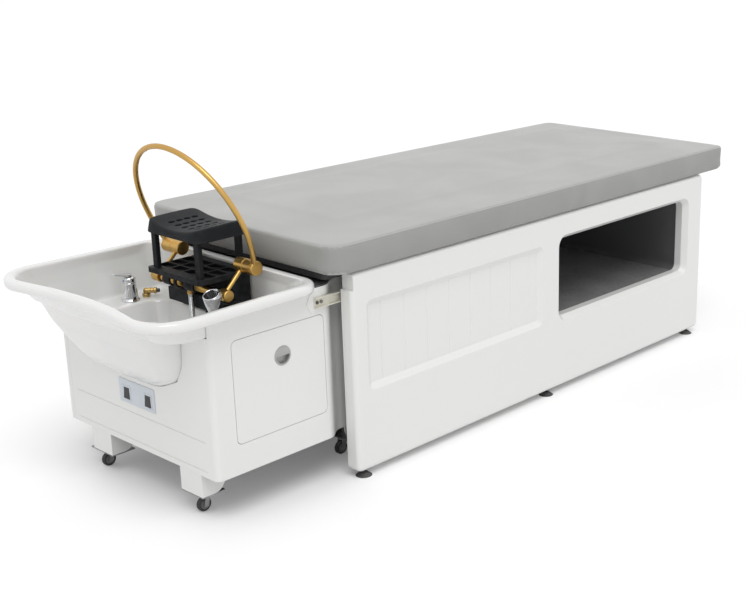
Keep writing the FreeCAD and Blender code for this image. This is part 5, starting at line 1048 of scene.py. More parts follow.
    def stitches(self, path: np.ndarray) -> Surface:
        """Row of short threads laid along a closed path.

        Each thread is a six-sided spindle: at shares of its length its radius and its lift above
        the path are shares of the thread's radius, so that its ends dip into the leather.

        Args:
            path: (N, 3) closed path.
        Returns:
            All threads in one surface.
        """
        closed = np.concatenate([path, path[:1]])
        far = distances(closed)
        number = int(far[-1] / self.stitch_pitch)
        start = np.linspace(0, far[-1], number, endpoint=False)
        width = np.array(self.stitch_width_share) * self.stitch_radius
        lift = np.array(self.stitch_lift_share) * self.stitch_radius
        where = start[:, None] + np.array(self.stitch_share) * self.stitch_length
        line = placed(closed, far, where % far[-1])
        line[..., 2] += lift
        across = unit(np.cross(unit(line[:, -1:] - line[:, :1]), UP))
        loops = line[:, :, None] + width[None, :, None, None] * circles(across, UP, 6)
        single = skin(loops[0])
        points = loops.reshape(number, -1, 3)
        count = points.shape[1]
        offset = np.arange(number)[:, None, None] * count
        quads = (single.quads[None] + offset).reshape(-1, 4)
        caps = [cap + i * count for i in range(number) for cap in single.caps]
        return Surface(points.reshape(-1, 3), quads, caps)

    def build(self) -> None:
        """Make the pad with painted shade on its sides, the welt round its edge and the row of stitches."""
        seat = Seat("bed", ("mattress",))
        pad = SHOP.from_surface("mattress_pad", skin(self.loops()), UPHOLSTERY, seat)
        self.swell(pad)
        self.gather(pad)
        pad.modifiers.clear()
        pad.data.materials.clear()
        pad.data.materials.append(UPHOLSTERY.material())
        # Second material: the painted shade on the pad's sides.
        pad.data.materials.append(UPHOLSTERY_PAINTED_SHADE.material())
        self.split_colours(pad)
        pad.data.shade_smooth()
        smooth = pad.modifiers.new("soft_surface", "SUBSURF")
        smooth.levels = 1
        smooth.render_levels = 1
        welt = self.closed_tube(self.laid_on(pad, self.slack + self.welt_out, self.welt_above))
        SHOP.from_surface("mattress_welt", welt, UPHOLSTERY, Seat("bed"))
        threads = self.stitches(self.laid_on(pad, self.stitch_inset, self.stitch_above))
        SHOP.from_surface("mattress_stitches", threads, THREAD, Seat("bed"))
        SHOP.from_nodes(DARK_BOARD, EdgeFinish(bevel=self.board_edge), "mattress_base_board")

    def laid_on(self, pad: bpy.types.Object, inset: float, above: float) -> np.ndarray:
        """Closed path that rests on the pad's finished surface.

        Args:
            pad: The finished pad.
            inset: How far the path is drawn in from the mattress's outline.
            above: Its level above the side, before it is moved to the nearest place on the pad.
        Returns:
            (N, 3) points of the path.
        """
        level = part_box("mattress")[0].z + self.side + above
        path = at_levels(rounded(self.corners(np.array([inset])), 14, 60), np.array([level]))[0]
        bpy.context.view_layer.update()
        tree = BVHTree.FromObject(pad, bpy.context.evaluated_depsgraph_get())
        return np.array([tree.find_nearest(tuple(place))[0] for place in path])

    def closed_tube(self, path: np.ndarray) -> Surface:
        """The welt's round section, carried round a closed path that is nearly level: its two
        directions are the path's level normal and upward."""
        across = unit(np.cross(unit(np.roll(path, -1, 0) - np.roll(path, 1, 0)), UP))
        return skin(path[:, None] + self.welt_radius * circles(across, UP, 10), closed=True)

    def split_colours(self, pad: bpy.types.Object) -> None:
        """Give the faces that look sideways a darker copy of the top's leather: painted shade on the pad's
        sides.
        """
        count = len(pad.data.polygons)
        normals = np.empty(count * 3)
        pad.data.polygons.foreach_get("normal", normals)
        sideways = np.abs(normals.reshape(-1, 3)[:, 2]) < self.sideways
        pad.data.polygons.foreach_set("material_index", sideways.astype(np.int32))


@dataclass
class CarriedParts:
    """Sub-assembly whose construction pieces are carried over: rows of finish, edges and nodes."""

    rows: tuple[tuple[Finish, EdgeFinish, str], ...]

    def build(self) -> None:
        """Carry over the nodes of each row, in order."""
        for finish, edges, nodes in self.rows:
            SHOP.from_nodes(finish, edges, *nodes.split())


SHEET_EDGE = EdgeFinish(sharp=30.0)
PLAIN_EDGE = EdgeFinish(bevel=1.2 * MM)


@dataclass
class BedBase(CarriedParts):
    """White side panels, foot board, storage niche and the steel frame inside."""

    rows: tuple[tuple[Finish, EdgeFinish, str], ...] = (
        (WHITE_PANEL, EdgeFinish(sharp=25.0), "near_side_panel far_side_panel"),
        (WHITE_PANEL, PLAIN_EDGE, "foot_panel"),
        (NICHE_LINING, EdgeFinish(), "storage_niche_liner"),
        (NICHE_MAT, EdgeFinish(bevel=0.5 * MM), "niche_mat"),
        (FRAME_STEEL, EdgeFinish(), "frame_side_rails frame_crossbars"),
        (BLACK_RUBBER, EdgeFinish(bevel=0.6 * MM), "levelling_feet"),
        (BLACK_PLASTIC, PLAIN_EDGE, "link_guides"),
    )


@dataclass
class WashCabinet(CarriedParts):
    """White cabinet shell on its leg brackets, with the service door and what stands inside."""

    rows: tuple[tuple[Finish, EdgeFinish, str], ...] = (
        (WHITE_PANEL, SHEET_EDGE, "cabinet_front_panel cabinet_near_side cabinet_far_side "
                                  "cabinet_back_panel leg_brackets link_plates"),
        (FRAME_STEEL, SHEET_EDGE, "cabinet_base_pan cabinet_top_plate"),
        (WHITE_PANEL, SHEET_EDGE, "door_panel"),
        (PULL_GREY, SHEET_EDGE, "door_pull"),
        (CREAM_CHANNEL, SHEET_EDGE, "link_channels"),
        (DARK_SCREW, SHEET_EDGE, "link_screws"),
        (BRACKET_STEEL, SHEET_EDGE, "caster_plates"),
        (TANK_PLASTIC, SHEET_EDGE, "water_tank"),
        (BLACK_PLASTIC, SHEET_EDGE, "circulation_pump"),
        (PIPE_PLASTIC, SHEET_EDGE, "waste_pipe"),
        (CHROME, SHEET_EDGE, "waste_outlet drain_strainer"),
        (CONTROL_PLATE, SHEET_EDGE, "control_plate"),
        (BLACK_PLASTIC, SHEET_EDGE, "left_rocker right_rocker"),
    )


@dataclass
class Basin:
    """One-piece glazed basin: drain, well, deck, tray, rolled rim, skirt and the bowl's outside.

    An outline is (front, belly, rear, near, far, radius) in millimetres: its front is swept, so that
    the middle of the front stands further out than its ends by the belly. The easing is how far, in
    millimetres, the profile is rounded at each loop: drain, well, tray, rim, skirt, bowl, drain.
    """

    sweep: float = 800 * MM
    drain: Row = (-760 * MM, -20 * MM)
    drain_radius: float = 24.3 * MM
    underside: float = 272 * MM
    well_floor: float = 286 * MM
    deck: float = 380 * MM
    skirt_bottom: float = 431 * MM
    cabinet_top: float = 474 * MM
    rim_top: float = 498 * MM
    rim_width: float = 24 * MM
    tray_drop: float = 2 * MM
    well_low: Row = (-838.0, 8.0, -680.0, -88.0, 112.0, 30.0)
    well_high: Row = (-898.0, 10.0, -652.0, -183.0, 186.0, 50.0)
    well_shares: Rows = (
        (0.0, 0.0, 0.0, 0.0, 0.0, 0.0),
        (0.12, 0.45, 0.45, 0.55, 0.40, 0.60),
        (1.0, 1.0, 1.0, 1.0, 1.0, 1.0),
    )
    tray_low: Row = (-902.0, 10.0, -597.0, -184.0, 262.0, 36.0)
    tray_high: Row = (-980.0, -12.0, -594.0, -275.0, 275.0, 66.0)
    tray_shares: Rows = (
        (0.0, 0.0, 0.0, 0.0, 0.0, 0.0),
        (0.60, 0.42, 0.50, 0.02, 0.62, 0.40),
        (0.72, 0.62, 0.68, 0.78, 0.80, 0.66),
        (1.0, 1.0, 1.0, 1.0, 1.0, 1.0),
    )
    skirt_low: Row = (-951.0, 4.0, -588.0, -281.0, 281.0, 62.0)
    skirt_high: Row = (-990.0, -16.0, -588.0, -281.0, 281.0, 66.0)
    bowl_low: Row = (-850.0, 8.0, -668.0, -100.0, 122.0, 35.0)
    bowl_high: Row = (-938.0, 10.0, -588.0, -194.0, 281.0, 62.0)
    bowl_shares: Rows = (
        (1.0, 1.0, 1.0, 1.0, 1.0, 1.0),
        (0.657, 0.74, 0.985, 0.97, 0.94, 0.92),
        (0.615, 0.72, 0.37, 0.97, 0.88, 0.90),
        (0.46, 0.62, 0.35, 0.94, 0.73, 0.83),
        (0.225, 0.45, 0.29, 0.77, 0.46, 0.66),
        (0.077, 0.25, 0.16, 0.27, 0.26, 0.33),
        (0.0, 0.0, 0.0, 0.0, 0.0, 0.0),
    )
    rim_corners: Rows = (
        (-577.0, -328.0, 58.0),
        (-1031.8, -340.0, 95.0),
        (-988.0, -30.0, 800.0),
        (-1037.8, 300.0, 95.0),
        (-577.0, 288.0, 58.0),
    )
    easing: Row = (
        1.5, 14.0, 18.0, 9.0, 12.0, 9.0, 9.0, 7.0, 9.0, 13.125, 11.55,
        9.0, 5.0, 6.0, 12.0, 12.0, 14.0, 16.0, 16.0, 12.0, 1.5,
    )
    arc_steps: int = 14
    side_steps: int = 10

    def outline(self, values: np.ndarray) -> np.ndarray:
        """Outlines with a swept front.

        Args:
            values: (L, 6) rows of front, belly, rear, near, far and radius, in millimetres.
        Returns:
            (L, N, 2) outlines, in metres.
        """
        front, belly, rear, near, far, bend = (values[:, i] * MM for i in range(6))
        middle = (near + far) / 2
        sweep = 0 * bend + self.sweep
        rows = [(rear, near, bend), (front, near, bend), (front - belly, middle, sweep),
                (front, far, bend), (rear, far, bend)]
        corners = np.stack([np.stack(row, -1) for row in rows], -2)
        return rounded(corners, self.arc_steps, self.side_steps)

    def between(self, low: Row, high: Row, levels: Row, shares: Rows) -> np.ndarray:
        """Loops between two outlines: each value is blended by its own share of the row.

        Args:
            low: Outline values at the low level.
            high: Outline values at the high level.
            levels: The low level and the high level.
            shares: Rows of (level and belly, front, rear, near, far, radius) shares.
        Returns:
            (L, N, 3) loops, in the order of the shares.
        """
        table = np.array(shares)
        values = np.array(low) + (np.array(high) - np.array(low)) * table[:, [1, 0, 2, 3, 4, 5]]
        return at_levels(self.outline(values), levels[0] + (levels[1] - levels[0]) * table[:, 0])

    def rim(self, inset: float, level: float) -> np.ndarray:
        """One loop of the rim, drawn in by the inset."""
        corners = np.array(self.rim_corners) * MM
        inward = np.array(((-1.0, 1.0), (1.0, 1.0), (1.0, 0.0), (1.0, -1.0), (-1.0, -1.0)))
        corners[:, :2] += inward * inset
        corners[[0, 1, 3, 4], 2] -= inset
        return at_levels(rounded(corners[None], self.arc_steps, self.side_steps), np.array([level]))

    def drain_ring(self, well: np.ndarray, level: float) -> np.ndarray:
        """Loop of the drain hole: each point lies towards the matching point of the well's floor."""
        centre = np.array((*self.drain, level))
        way = well[0] - centre
        way[:, 2] = 0
        return (centre + unit(way) * self.drain_radius)[None]

    def loops(self) -> np.ndarray:
        """The whole closed profile, from the drain up the inside, over the rim and down the outside."""
        tray_top = self.cabinet_top - self.tray_drop
        well = self.between(self.well_low, self.well_high, (self.well_floor, self.deck), self.well_shares)
        tray = self.between(self.tray_low, self.tray_high, (self.deck, tray_top), self.tray_shares)
        skirt = self.between(self.skirt_low, self.skirt_high, (self.skirt_bottom, self.cabinet_top),
                             ((1.0,) * 6, (0.0,) * 6))
        bowl = self.between(self.bowl_low, self.bowl_high, (self.underside, self.skirt_bottom),
                            self.bowl_shares)
        loops = np.concatenate([
            self.drain_ring(well, self.well_floor), well, tray,
            self.rim(self.rim_width, self.rim_top), self.rim(0.0, self.rim_top),
            self.rim(0.0, self.cabinet_top), skirt, bowl, self.drain_ring(well, self.underside)])
        return eased(loops, np.array(self.easing) * MM, steps=6, closed=True)

    def build(self) -> None:
        """Make the basin."""
        surface = skin(self.loops(), closed=True)
        SHOP.from_surface("basin_shell", surface, BASIN_WHITE, Seat("wash_unit", ("basin",)),
                          EdgeFinish(sharp=60.0))


@dataclass
class Tap:
    """Chrome mixer tap on the deck, with its turning head, lever and the brass supply elbow.

    The rows of each turned piece are for lathe().
    """

    x: float = -719 * MM
    y: float = 212 * MM
    deck: float = 380 * MM
    head_low: float = 426.3 * MM
    head_radius: float = 15.5 * MM
    index_level: float = 5.5 * MM
    lever_length: float = 52 * MM
    lever_root: float = 11 * MM
    lever_tip: float = 7 * MM
    lever_thick: float = 2.6 * MM
    lever_slope: float = math.radians(6.0)
    lever_back: float = 5 * MM
    lever_lift: float = 8 * MM
    lever_curl: float = 5 * MM
    lever_square: float = 0.55
    pivot_z: float = 435.3 * MM
    elbow_x: float = -676 * MM
    elbow_y: float = 212 * MM
    elbow_z: float = 395 * MM
    elbow_turn: float = math.radians(-45.0)
    elbow_reach: float = 26 * MM
    riser_radius: float = 6.5 * MM
    ball_radius: float = 6.6 * MM
    ball_top: float = 0.3 * MM
    tongue_low: Row = (-4.5 * MM, -3.4 * MM)
    tongue_high: Row = (1.0 * MM, 3.4 * MM)
    tongue_rise: float = 8.5 * MM
    tongue_bend: float = 1.5 * MM
    tongue_edge: float = 0.4 * MM
    body_rows: Rows = (
        (21.5, 0.0, 0.6), (21.5, 3.0, 1.4), (18.5, 6.0, 2.0), (17.5, 12.0, 4.0),
        (15.5, 42.0, 2.0), (15.8, 45.0, 0.6), (14.9, 46.0, 0.4), (6.2, 46.0, 0.0),
    )
    head_rows: Rows = (
        (5.0, -12.0, 0.5), (5.0, 0.1, 0.0), (15.0, 0.1, 0.4), (15.5, 1.2, 0.5),
        (15.5, 10.5, 3.0), (10.5, 13.4, 3.0), (1.0, 14.0, 0.5),
    )
    index_rows: Rows = ((2.3, 2.0, 0.0), (2.3, -0.2, 0.3), (1.2, -0.5, 0.4), (0.2, -0.55, 0.0))
    boss_rows: Rows = ((4.6, -3.5, 0.8), (4.6, 3.5, 0.8))
    foot_rows: Rows = (
        (8.9, 0.0, 0.8), (9.5, 0.8, 0.4), (9.5, 7.2, 0.4), (8.9, 8.0, 0.4), (6.5, 8.0, 0.0),
    )
    branch_rows: Rows = (
        (6.5, 0.0, 0.0), (6.5, 9.0, 0.0), (7.4, 9.5, 0.3), (7.4, 12.0, 0.3), (6.4, 12.6, 0.3),
        (6.4, 19.0, 0.3), (8.0, 20.0, 0.5), (8.0, 25.5, 0.5), (4.5, 26.0, 0.0),
    )
    cap_rows: Rows = ((4.5, 0.0, 0.0), (4.5, 6.2, 0.7), (2.6, 7.0, 0.3), (2.6, 4.0, 0.0))

    def lever(self) -> Surface:
        """Blade that narrows and lifts towards its tip.

        The half width falls evenly from root to tip with a half-circle end, the middle line rises
        by the slope and by the square of the share along it, and the section is a squared ellipse:
        the sine and cosine of the angle, each to a power below one.
        """
        share = np.linspace(0, 1, 28)
        far = share * self.lever_length
        half = self.lever_root + (self.lever_tip - self.lever_root) * share
        end = np.clip((self.lever_length - far) / self.lever_tip, 0, 1)
        root = np.clip((far + 1 * MM) / (self.lever_root * 0.9), 0, 1)
        half = half * np.sqrt(np.maximum(1 - (1 - end) ** 2, 1e-4)) * np.sqrt(1 - (1 - root) ** 2)
        rise = far * math.tan(self.lever_slope) + self.lever_curl * share ** 2
        middle = self.pivot_z + self.lever_lift + rise
        thick = self.lever_thick * (1.15 - 0.35 * share)
        circle = circles(np.array((1.0, 0.0)), np.array((0.0, 1.0)), 28)
        wide, tall = (np.sign(circle) * np.abs(circle) ** self.lever_square).T
        points = np.empty((len(share), len(circle), 3))
        points[..., 0] = (self.x + self.lever_back - far)[:, None]
        points[..., 1] = self.y + half[:, None] * wide[None, :]
        points[..., 2] = middle[:, None] + thick[:, None] * tall[None, :]
        return skin(points)

    def tongue(self) -> Surface:
        """Pivot boss under the blade, and the tongue between them."""
        boss = lathe(self.boss_rows, (self.x, self.y, self.pivot_z), Along.Y, 28)
        low, high = ((self.x + x, self.y + y) for x, y in (self.tongue_low, self.tongue_high))
        levels = (self.pivot_z, self.pivot_z + self.tongue_rise)
        return joined([boss, plate(low, high, self.tongue_bend, levels, self.tongue_edge)])

    def elbow(self) -> Surface:
        """Six-sided foot, riser, ball and ribbed branch of the supply elbow."""
        place = (self.elbow_x, self.elbow_y, self.deck)
        rise = self.elbow_z - self.deck
        angle = np.linspace(0, math.pi / 2, 9)
        ball = np.stack([np.cos(angle), np.sin(angle)], -1) * self.ball_radius + np.array((0.0, rise))
        riser = np.concatenate([[[self.riser_radius, 1 * MM], [self.riser_radius, rise]], ball])
        riser[-1, 0] = self.ball_top
        arm = lathe(self.branch_rows, (self.elbow_x, self.elbow_y, self.elbow_z), Along.X, 32)
        return joined([lathe(self.foot_rows, place, Along.Z, 6), turned(riser, place, Along.Z, 32), arm])

    def build(self) -> None:
        """Make the tap's four pieces and the elbow."""
        base = lathe(self.body_rows, (self.x, self.y, self.deck), Along.Z, 56)
        SHOP.from_surface("tap_body", base, CHROME, Seat("wash_unit", ("tap_base",)))
        head = lathe(self.head_rows, (self.x, self.y, self.head_low), Along.Z, 56)
        SHOP.from_surface("tap_turning_head", head, CHROME, Seat("tap_turret", ("tap_head",)))
        front = (self.x - self.head_radius, self.y, self.head_low + self.index_level)
        index = lathe(self.index_rows, front, Along.X, 20)
        SHOP.from_surface("tap_index", index, COLD_BLUE, Seat("tap_turret"))
        blade = joined([self.lever(), self.tongue()])
        SHOP.from_surface("tap_lever_blade", blade, CHROME, Seat("tap_handle", ("tap_lever",)))
        elbow = self.elbow().spun(self.elbow_turn, self.elbow_x, self.elbow_y)
        SHOP.from_surface("supply_elbow_body", elbow, BRASS_FITTING, Seat("wash_unit", ("supply_elbow",)),
                          EdgeFinish(sharp=28.0))
        end = lathe(self.cap_rows, (self.elbow_x + self.elbow_reach, self.elbow_y, self.elbow_z), Along.X, 28)
        SHOP.from_surface("elbow_cap", end.spun(self.elbow_turn, self.elbow_x, self.elbow_y), BLACK_PLASTIC,
                          Seat("wash_unit", ("elbow_tip",)))


@dataclass
class NeckSupport:
    """Black neck rest with its slots, on legs that stand in the tray.

    The pad's rings are rows of how far it is drawn in and how deep it lies below the saddle (top and
    under) or how high above the bottom (skirt), in millimetres.
    """

    front: float = -745 * MM
    rear: float = -598 * MM
    middle_y: float = -8 * MM
    half: float = 100 * MM
    top: float = 611 * MM
    bottom: float = 575 * MM
    dip: float = 17 * MM
    dip_radius: float = 290 * MM
    front_fall: float = 3 * MM
    saddle_under: float = 0.4 * MM
    wall: float = 4 * MM
    squareness: float = 9.0
    slot_long: float = 17 * MM
    slot_wide: float = 9 * MM
    slot_steps: int = 8
    slot_square: float = 0.8
    slot_ease: float = 0.8 * MM
    cell_shares: Row = (0.0, 0.55, 0.86, 1.0)
    pitch_x: float = 21 * MM
    pitch_y: float = 25 * MM
    rows: int = 4
    columns: int = 5
    leg_x: Row = (-726 * MM, -616 * MM)
    leg_y: Row = (-83 * MM, 77 * MM)
    leg_low: float = 480.3 * MM
    leg_half: Row = (6 * MM, 8 * MM)
    leg_bend: float = 1.8 * MM
    leg_edge: float = 0.8 * MM
    leg_overlap: float = 1.5 * MM
    top_rings: Rows = ((12.0, 0.0), (7.5, 0.7), (4.8, 3.2), (3.7, 7.5))
    skirt_rings: Rows = ((1.2, 8.0), (0.3, 1.0), (1.0, 0.0), (3.4, 0.0), (4.0, 1.0))
    under_rings: Rows = ((7.0, 13.0), (12.0, 4.5))

    def height(self, x: np.ndarray, y: np.ndarray) -> np.ndarray:
        """Level of the saddle: a circle's arc across the bed, less a fall that grows with the square of
        the distance from the rear edge."""
        across = y - self.middle_y
        saddle = self.top - self.dip + self.dip_radius - np.sqrt(self.dip_radius ** 2 - across ** 2)
        fall = self.front_fall * ((x - self.rear) / (self.rear - self.front)) ** 2
        return saddle - fall - self.saddle_under

    def square(self, steps_x: int, steps_y: int) -> np.ndarray:
        """Points round the square from -1 to 1, with a number of steps along each side."""
        x = np.linspace(-1, 1, steps_x, endpoint=False)
        y = np.linspace(-1, 1, steps_y, endpoint=False)
        sides = [(x, 0 * x - 1), (0 * y + 1, y), (-x, 0 * x + 1), (0 * y - 1, -y)]
        return np.concatenate([np.stack(side, -1) for side in sides])

    def slot_cells(self) -> np.ndarray:
        """Square rings round every slot.

        Each cell's outer loop is its rectangle and its inner loop is the slot, both with the same
        number of points, and the loops between are blends of the two.

        Returns:
            (C, L, N, 2) loops of all cells.
        """
        square = self.square(self.slot_steps, self.slot_steps)
        cell = square * np.array((self.pitch_x, self.pitch_y)) / 2
        angle = np.arctan2(square[:, 1], square[:, 0])
        circle = np.stack([np.cos(angle), np.sin(angle)], -1)
        slot = np.sign(circle) * np.abs(circle) ** self.slot_square
        slot = slot * np.array((self.slot_long, self.slot_wide)) / 2
        x = (np.arange(self.rows) - (self.rows - 1) / 2) * self.pitch_x + (self.front + self.rear) / 2
        y = (np.arange(self.columns) - (self.columns - 1) / 2) * self.pitch_y + self.middle_y
        centres = np.stack(np.meshgrid(x, y, indexing="ij"), -1).reshape(-1, 1, 1, 2)
        share = np.array(self.cell_shares)[None, :, None, None]
        return centres + cell * (1 - share) + slot * share

    def block_edge(self) -> np.ndarray:
        """Rectangle round all the cells, with a point at each of their corners and between."""
        half = np.array((self.pitch_x * self.rows, self.pitch_y * self.columns)) / 2
        square = self.square(self.slot_steps * self.rows, self.slot_steps * self.columns)
        return square * half + np.array(((self.front + self.rear) / 2, self.middle_y))

    def outer_edge(self, block: np.ndarray, inset: float) -> np.ndarray:
        """Outline of the pad: the superellipse point in the direction of each point of the block."""
        centre = np.array(((self.front + self.rear) / 2, self.middle_y))
        half = np.array(((self.rear - self.front) / 2 - inset, self.half - inset))
        way = (block - centre) / half
        reach = np.sum(np.abs(way) ** self.squareness, -1, keepdims=True) ** (-1 / self.squareness)
        return centre + way * half * reach

    def below(self, edge: np.ndarray, drop: float) -> np.ndarray:
        """Points of level outlines, put at a depth below the saddle."""
        return np.concatenate([edge, self.height(edge[..., :1], edge[..., 1:]) - drop], -1)

    def pad(self) -> Surface:
        """Saddle with its slots, rolled edge, skirt and underside."""
        cells = self.slot_cells()
        loops = self.below(cells, 0.0)
        loops[:, -1, :, 2] -= self.slot_ease
        column = np.concatenate([loops, self.below(cells[:, ::-1], self.wall)], 1)
        number, rows, count = column.shape[:3]
        offset = np.arange(number)[:, None, None] * rows * count
        quads = (strips(rows, count)[None] + offset).reshape(-1, 4)[:, ::-1]
        slots = Surface(column.reshape(-1, 3), quads)
        block = self.block_edge()
        rings = [self.below(block, 0.0)]
        for inset, drop in self.top_rings:
            rings.append(self.below(self.outer_edge(block, inset * MM), drop * MM))
        for inset, level in self.skirt_rings:
            edge = self.outer_edge(block, inset * MM)
            rings.append(np.concatenate([edge, 0 * edge[:, :1] + self.bottom + level * MM], -1))
        for inset, drop in self.under_rings:
            rings.append(self.below(self.outer_edge(block, inset * MM), drop * MM))
        rings.append(self.below(block, self.wall))
        return joined([slots, skin(np.stack(rings), capped=False)])

    def legs(self) -> Surface:
        """Four rounded legs from the tray's sockets to the pad's underside."""
        legs = []
        for x in self.leg_x:
            for y in self.leg_y:
                place, half = np.array((x, y)), np.array(self.leg_half)
                levels = (self.leg_low, float(self.height(x, y)) - self.wall + self.leg_overlap)
                legs.append(plate(place - half, place + half, self.leg_bend, levels, self.leg_edge))
        return joined(legs)

    def build(self) -> None:
        """Make the neck rest and carry over the tray, its base and the clamps."""
        rest = joined([self.pad(), self.legs()])
        SHOP.from_surface("neck_rest_pad", rest, HEADREST_BLACK, Seat("neck_pad", ("neck_rest",)),
                          EdgeFinish(sharp=40.0))
        SHOP.from_nodes(HEADREST_BLACK, SHEET_EDGE, "headrest_base", "headrest_tray",
                        "manifold_clamps", "shower_holder")


@dataclass
class WaterHalo:
    """Gold water halo on two arms that swing on the manifold bar.

    The rows of each turned piece are for lathe(), with levels from the bed's middle line. A nozzle
    row is how far it lies inside the tube's surface, and its radius, in millimetres.
    """

    bar: Row = (-693 * MM, 0.0, 453 * MM)
    pivot: Row = (-635 * MM, 0.0, 510 * MM)
    port_y: float = 4 * MM
    arm_y: float = 122 * MM
    arm_radius: float = 5 * MM
    foot_y: float = 157 * MM
    height: float = 289 * MM
    tube_radius: float = 6.25 * MM
    tilt: float = math.radians(21.6)
    nozzles: int = 15
    nozzle_rows: Rows = ((-1.0, 1.5), (0.2, 1.5), (0.7, 0.8))
    knuckle_rows: Rows = (
        (6.0, 112.0, 0.5), (6.0, 134.2, 0.0), (16.2, 134.2, 0.5), (17.0, 135.2, 0.4),
        (17.0, 162.5, 0.2), (16.3, 162.8, 0.2), (16.3, 163.4, 0.2), (17.0, 163.7, 0.2),
        (17.0, 168.2, 1.4), (14.8, 170.0, 1.2), (0.5, 170.0, 0.0),
    )
    cap_rows: Rows = (
        (5.1, 113.0, 0.3), (13.2, 113.0, 0.6), (14.0, 114.0, 0.5), (14.0, 138.4, 1.2),
        (12.2, 140.0, 1.0), (0.5, 140.0, 0.0), (0.5, 131.0, 0.0), (5.1, 131.0, 0.0),
    )
    barrel_rows: Rows = (
        (6.1, 110.0, 0.0), (0.6, 110.0, 0.0), (0.6, 104.0, 0.0), (15.5, 104.0, 1.0),
        (17.0, 105.5, 1.0), (17.0, 133.0, 0.4), (16.2, 133.7, 0.4), (6.1, 133.7, 0.2),
    )
    bar_rows: Rows = (
        (9.0, 0.0, 0.0), (9.0, 107.0, 0.8), (8.0, 108.0, 0.5), (5.0, 108.0, 0.3),
        (5.0, 129.5, 0.3), (4.4, 130.0, 0.2),
    )
    port_rows: Rows = ((8.0, -21.0, 0.6), (8.0, -16.0, 0.4), (7.2, -15.4, 0.3), (7.2, 0.0, 0.0))

    def both(self, near: Surface) -> Surface:
        """A surface with its mirror image on the far side."""
        return joined([near, near.mirrored()])

    def arc_radius(self) -> float:
        """Radius of the circle through both feet and the top."""
        return (self.foot_y ** 2 + self.height ** 2) / (2 * self.height)

    def arc(self) -> np.ndarray:
        """Middle line of the halo: a circle's arc through both feet and the top, leaning to the head."""
        radius = self.arc_radius()
        centre = self.height - radius
        start = math.atan2(-centre, self.foot_y)
        angle = np.linspace(start, math.pi - start, 120)
        return self.lean(radius * np.cos(angle), centre + radius * np.sin(angle))

    def lean(self, across: np.ndarray, up: np.ndarray) -> np.ndarray:
        """Points of the halo's leaning plane."""
        x = self.pivot[0] - up * math.sin(self.tilt)
        z = self.pivot[2] + up * math.cos(self.tilt)
        return np.stack([x, across, z], -1)

    def halo(self) -> Surface:
        """Tube, the two knuckles with their end caps' grooves, and the pins in the arms' barrels."""
        path = self.arc()
        upright = np.cross(path[1] - path[0], path[60] - path[0])
        ring = tube(path, np.full(len(path), self.tube_radius), tuple(unit(upright)), 24)
        return joined([ring, self.both(lathe(self.knuckle_rows, self.pivot, Along.Y, 56))])

    def outlets(self) -> Surface:
        """Small dark outlets in a row along the inside of the halo."""
        radius = self.arc_radius()
        centre = self.lean(0.0, self.height - radius)
        inward, size = np.array(self.nozzle_rows).T * MM
        dots = []
        for number in range(self.nozzles):
            turn = math.pi * (number + 1) / (self.nozzles + 1)
            way = self.lean(math.cos(turn), math.sin(turn)) - self.lean(0.0, 0.0)
            path = centre + way * (radius - self.tube_radius - inward[:, None])
            dots.append(tube(path, size, (1.0, 0.0, 0.0), 14))
        return joined(dots)

    def arms(self) -> Surface:
        """Caps on the bar's ends, arms and barrels, on both sides."""
        cap = lathe(self.cap_rows, self.bar, Along.Y, 48, closed=True)
        barrel = lathe(self.barrel_rows, self.pivot, Along.Y, 56, closed=True)
        side = np.array((0.0, self.arm_y, 0.0))
        path = np.linspace(self.bar + side, self.pivot + side, 12)
        rod = tube(path, np.full(len(path), self.arm_radius), (0.0, 1.0, 0.0), 28)
        return self.both(joined([cap, barrel, rod]))

    def manifold(self) -> Surface:
        """Bar with its spigots and the hose port underneath."""
        bar = self.both(lathe(self.bar_rows, self.bar, Along.Y, 44))
        port = lathe(self.port_rows, (self.bar[0], self.port_y, self.bar[2]), Along.Z, 36)
        return joined([bar, port])

    def build(self) -> None:
        """Make the bar, the arms, the halo and its outlets."""
        for name, surface, seat in (
                ("manifold_water_bar", self.manifold(), Seat("wash_unit", ("manifold_bar",))),
                ("halo_swing_arms", self.arms(), Seat("halo_lower", ("halo_arms",))),
                ("water_halo", self.halo(), Seat("halo", ("halo_tube",)))):
            SHOP.from_surface(name, surface, GOLD_TUBE, seat)
        SHOP.from_surface("halo_outlets", self.outlets(), BLACK_PLASTIC, Seat("halo"))


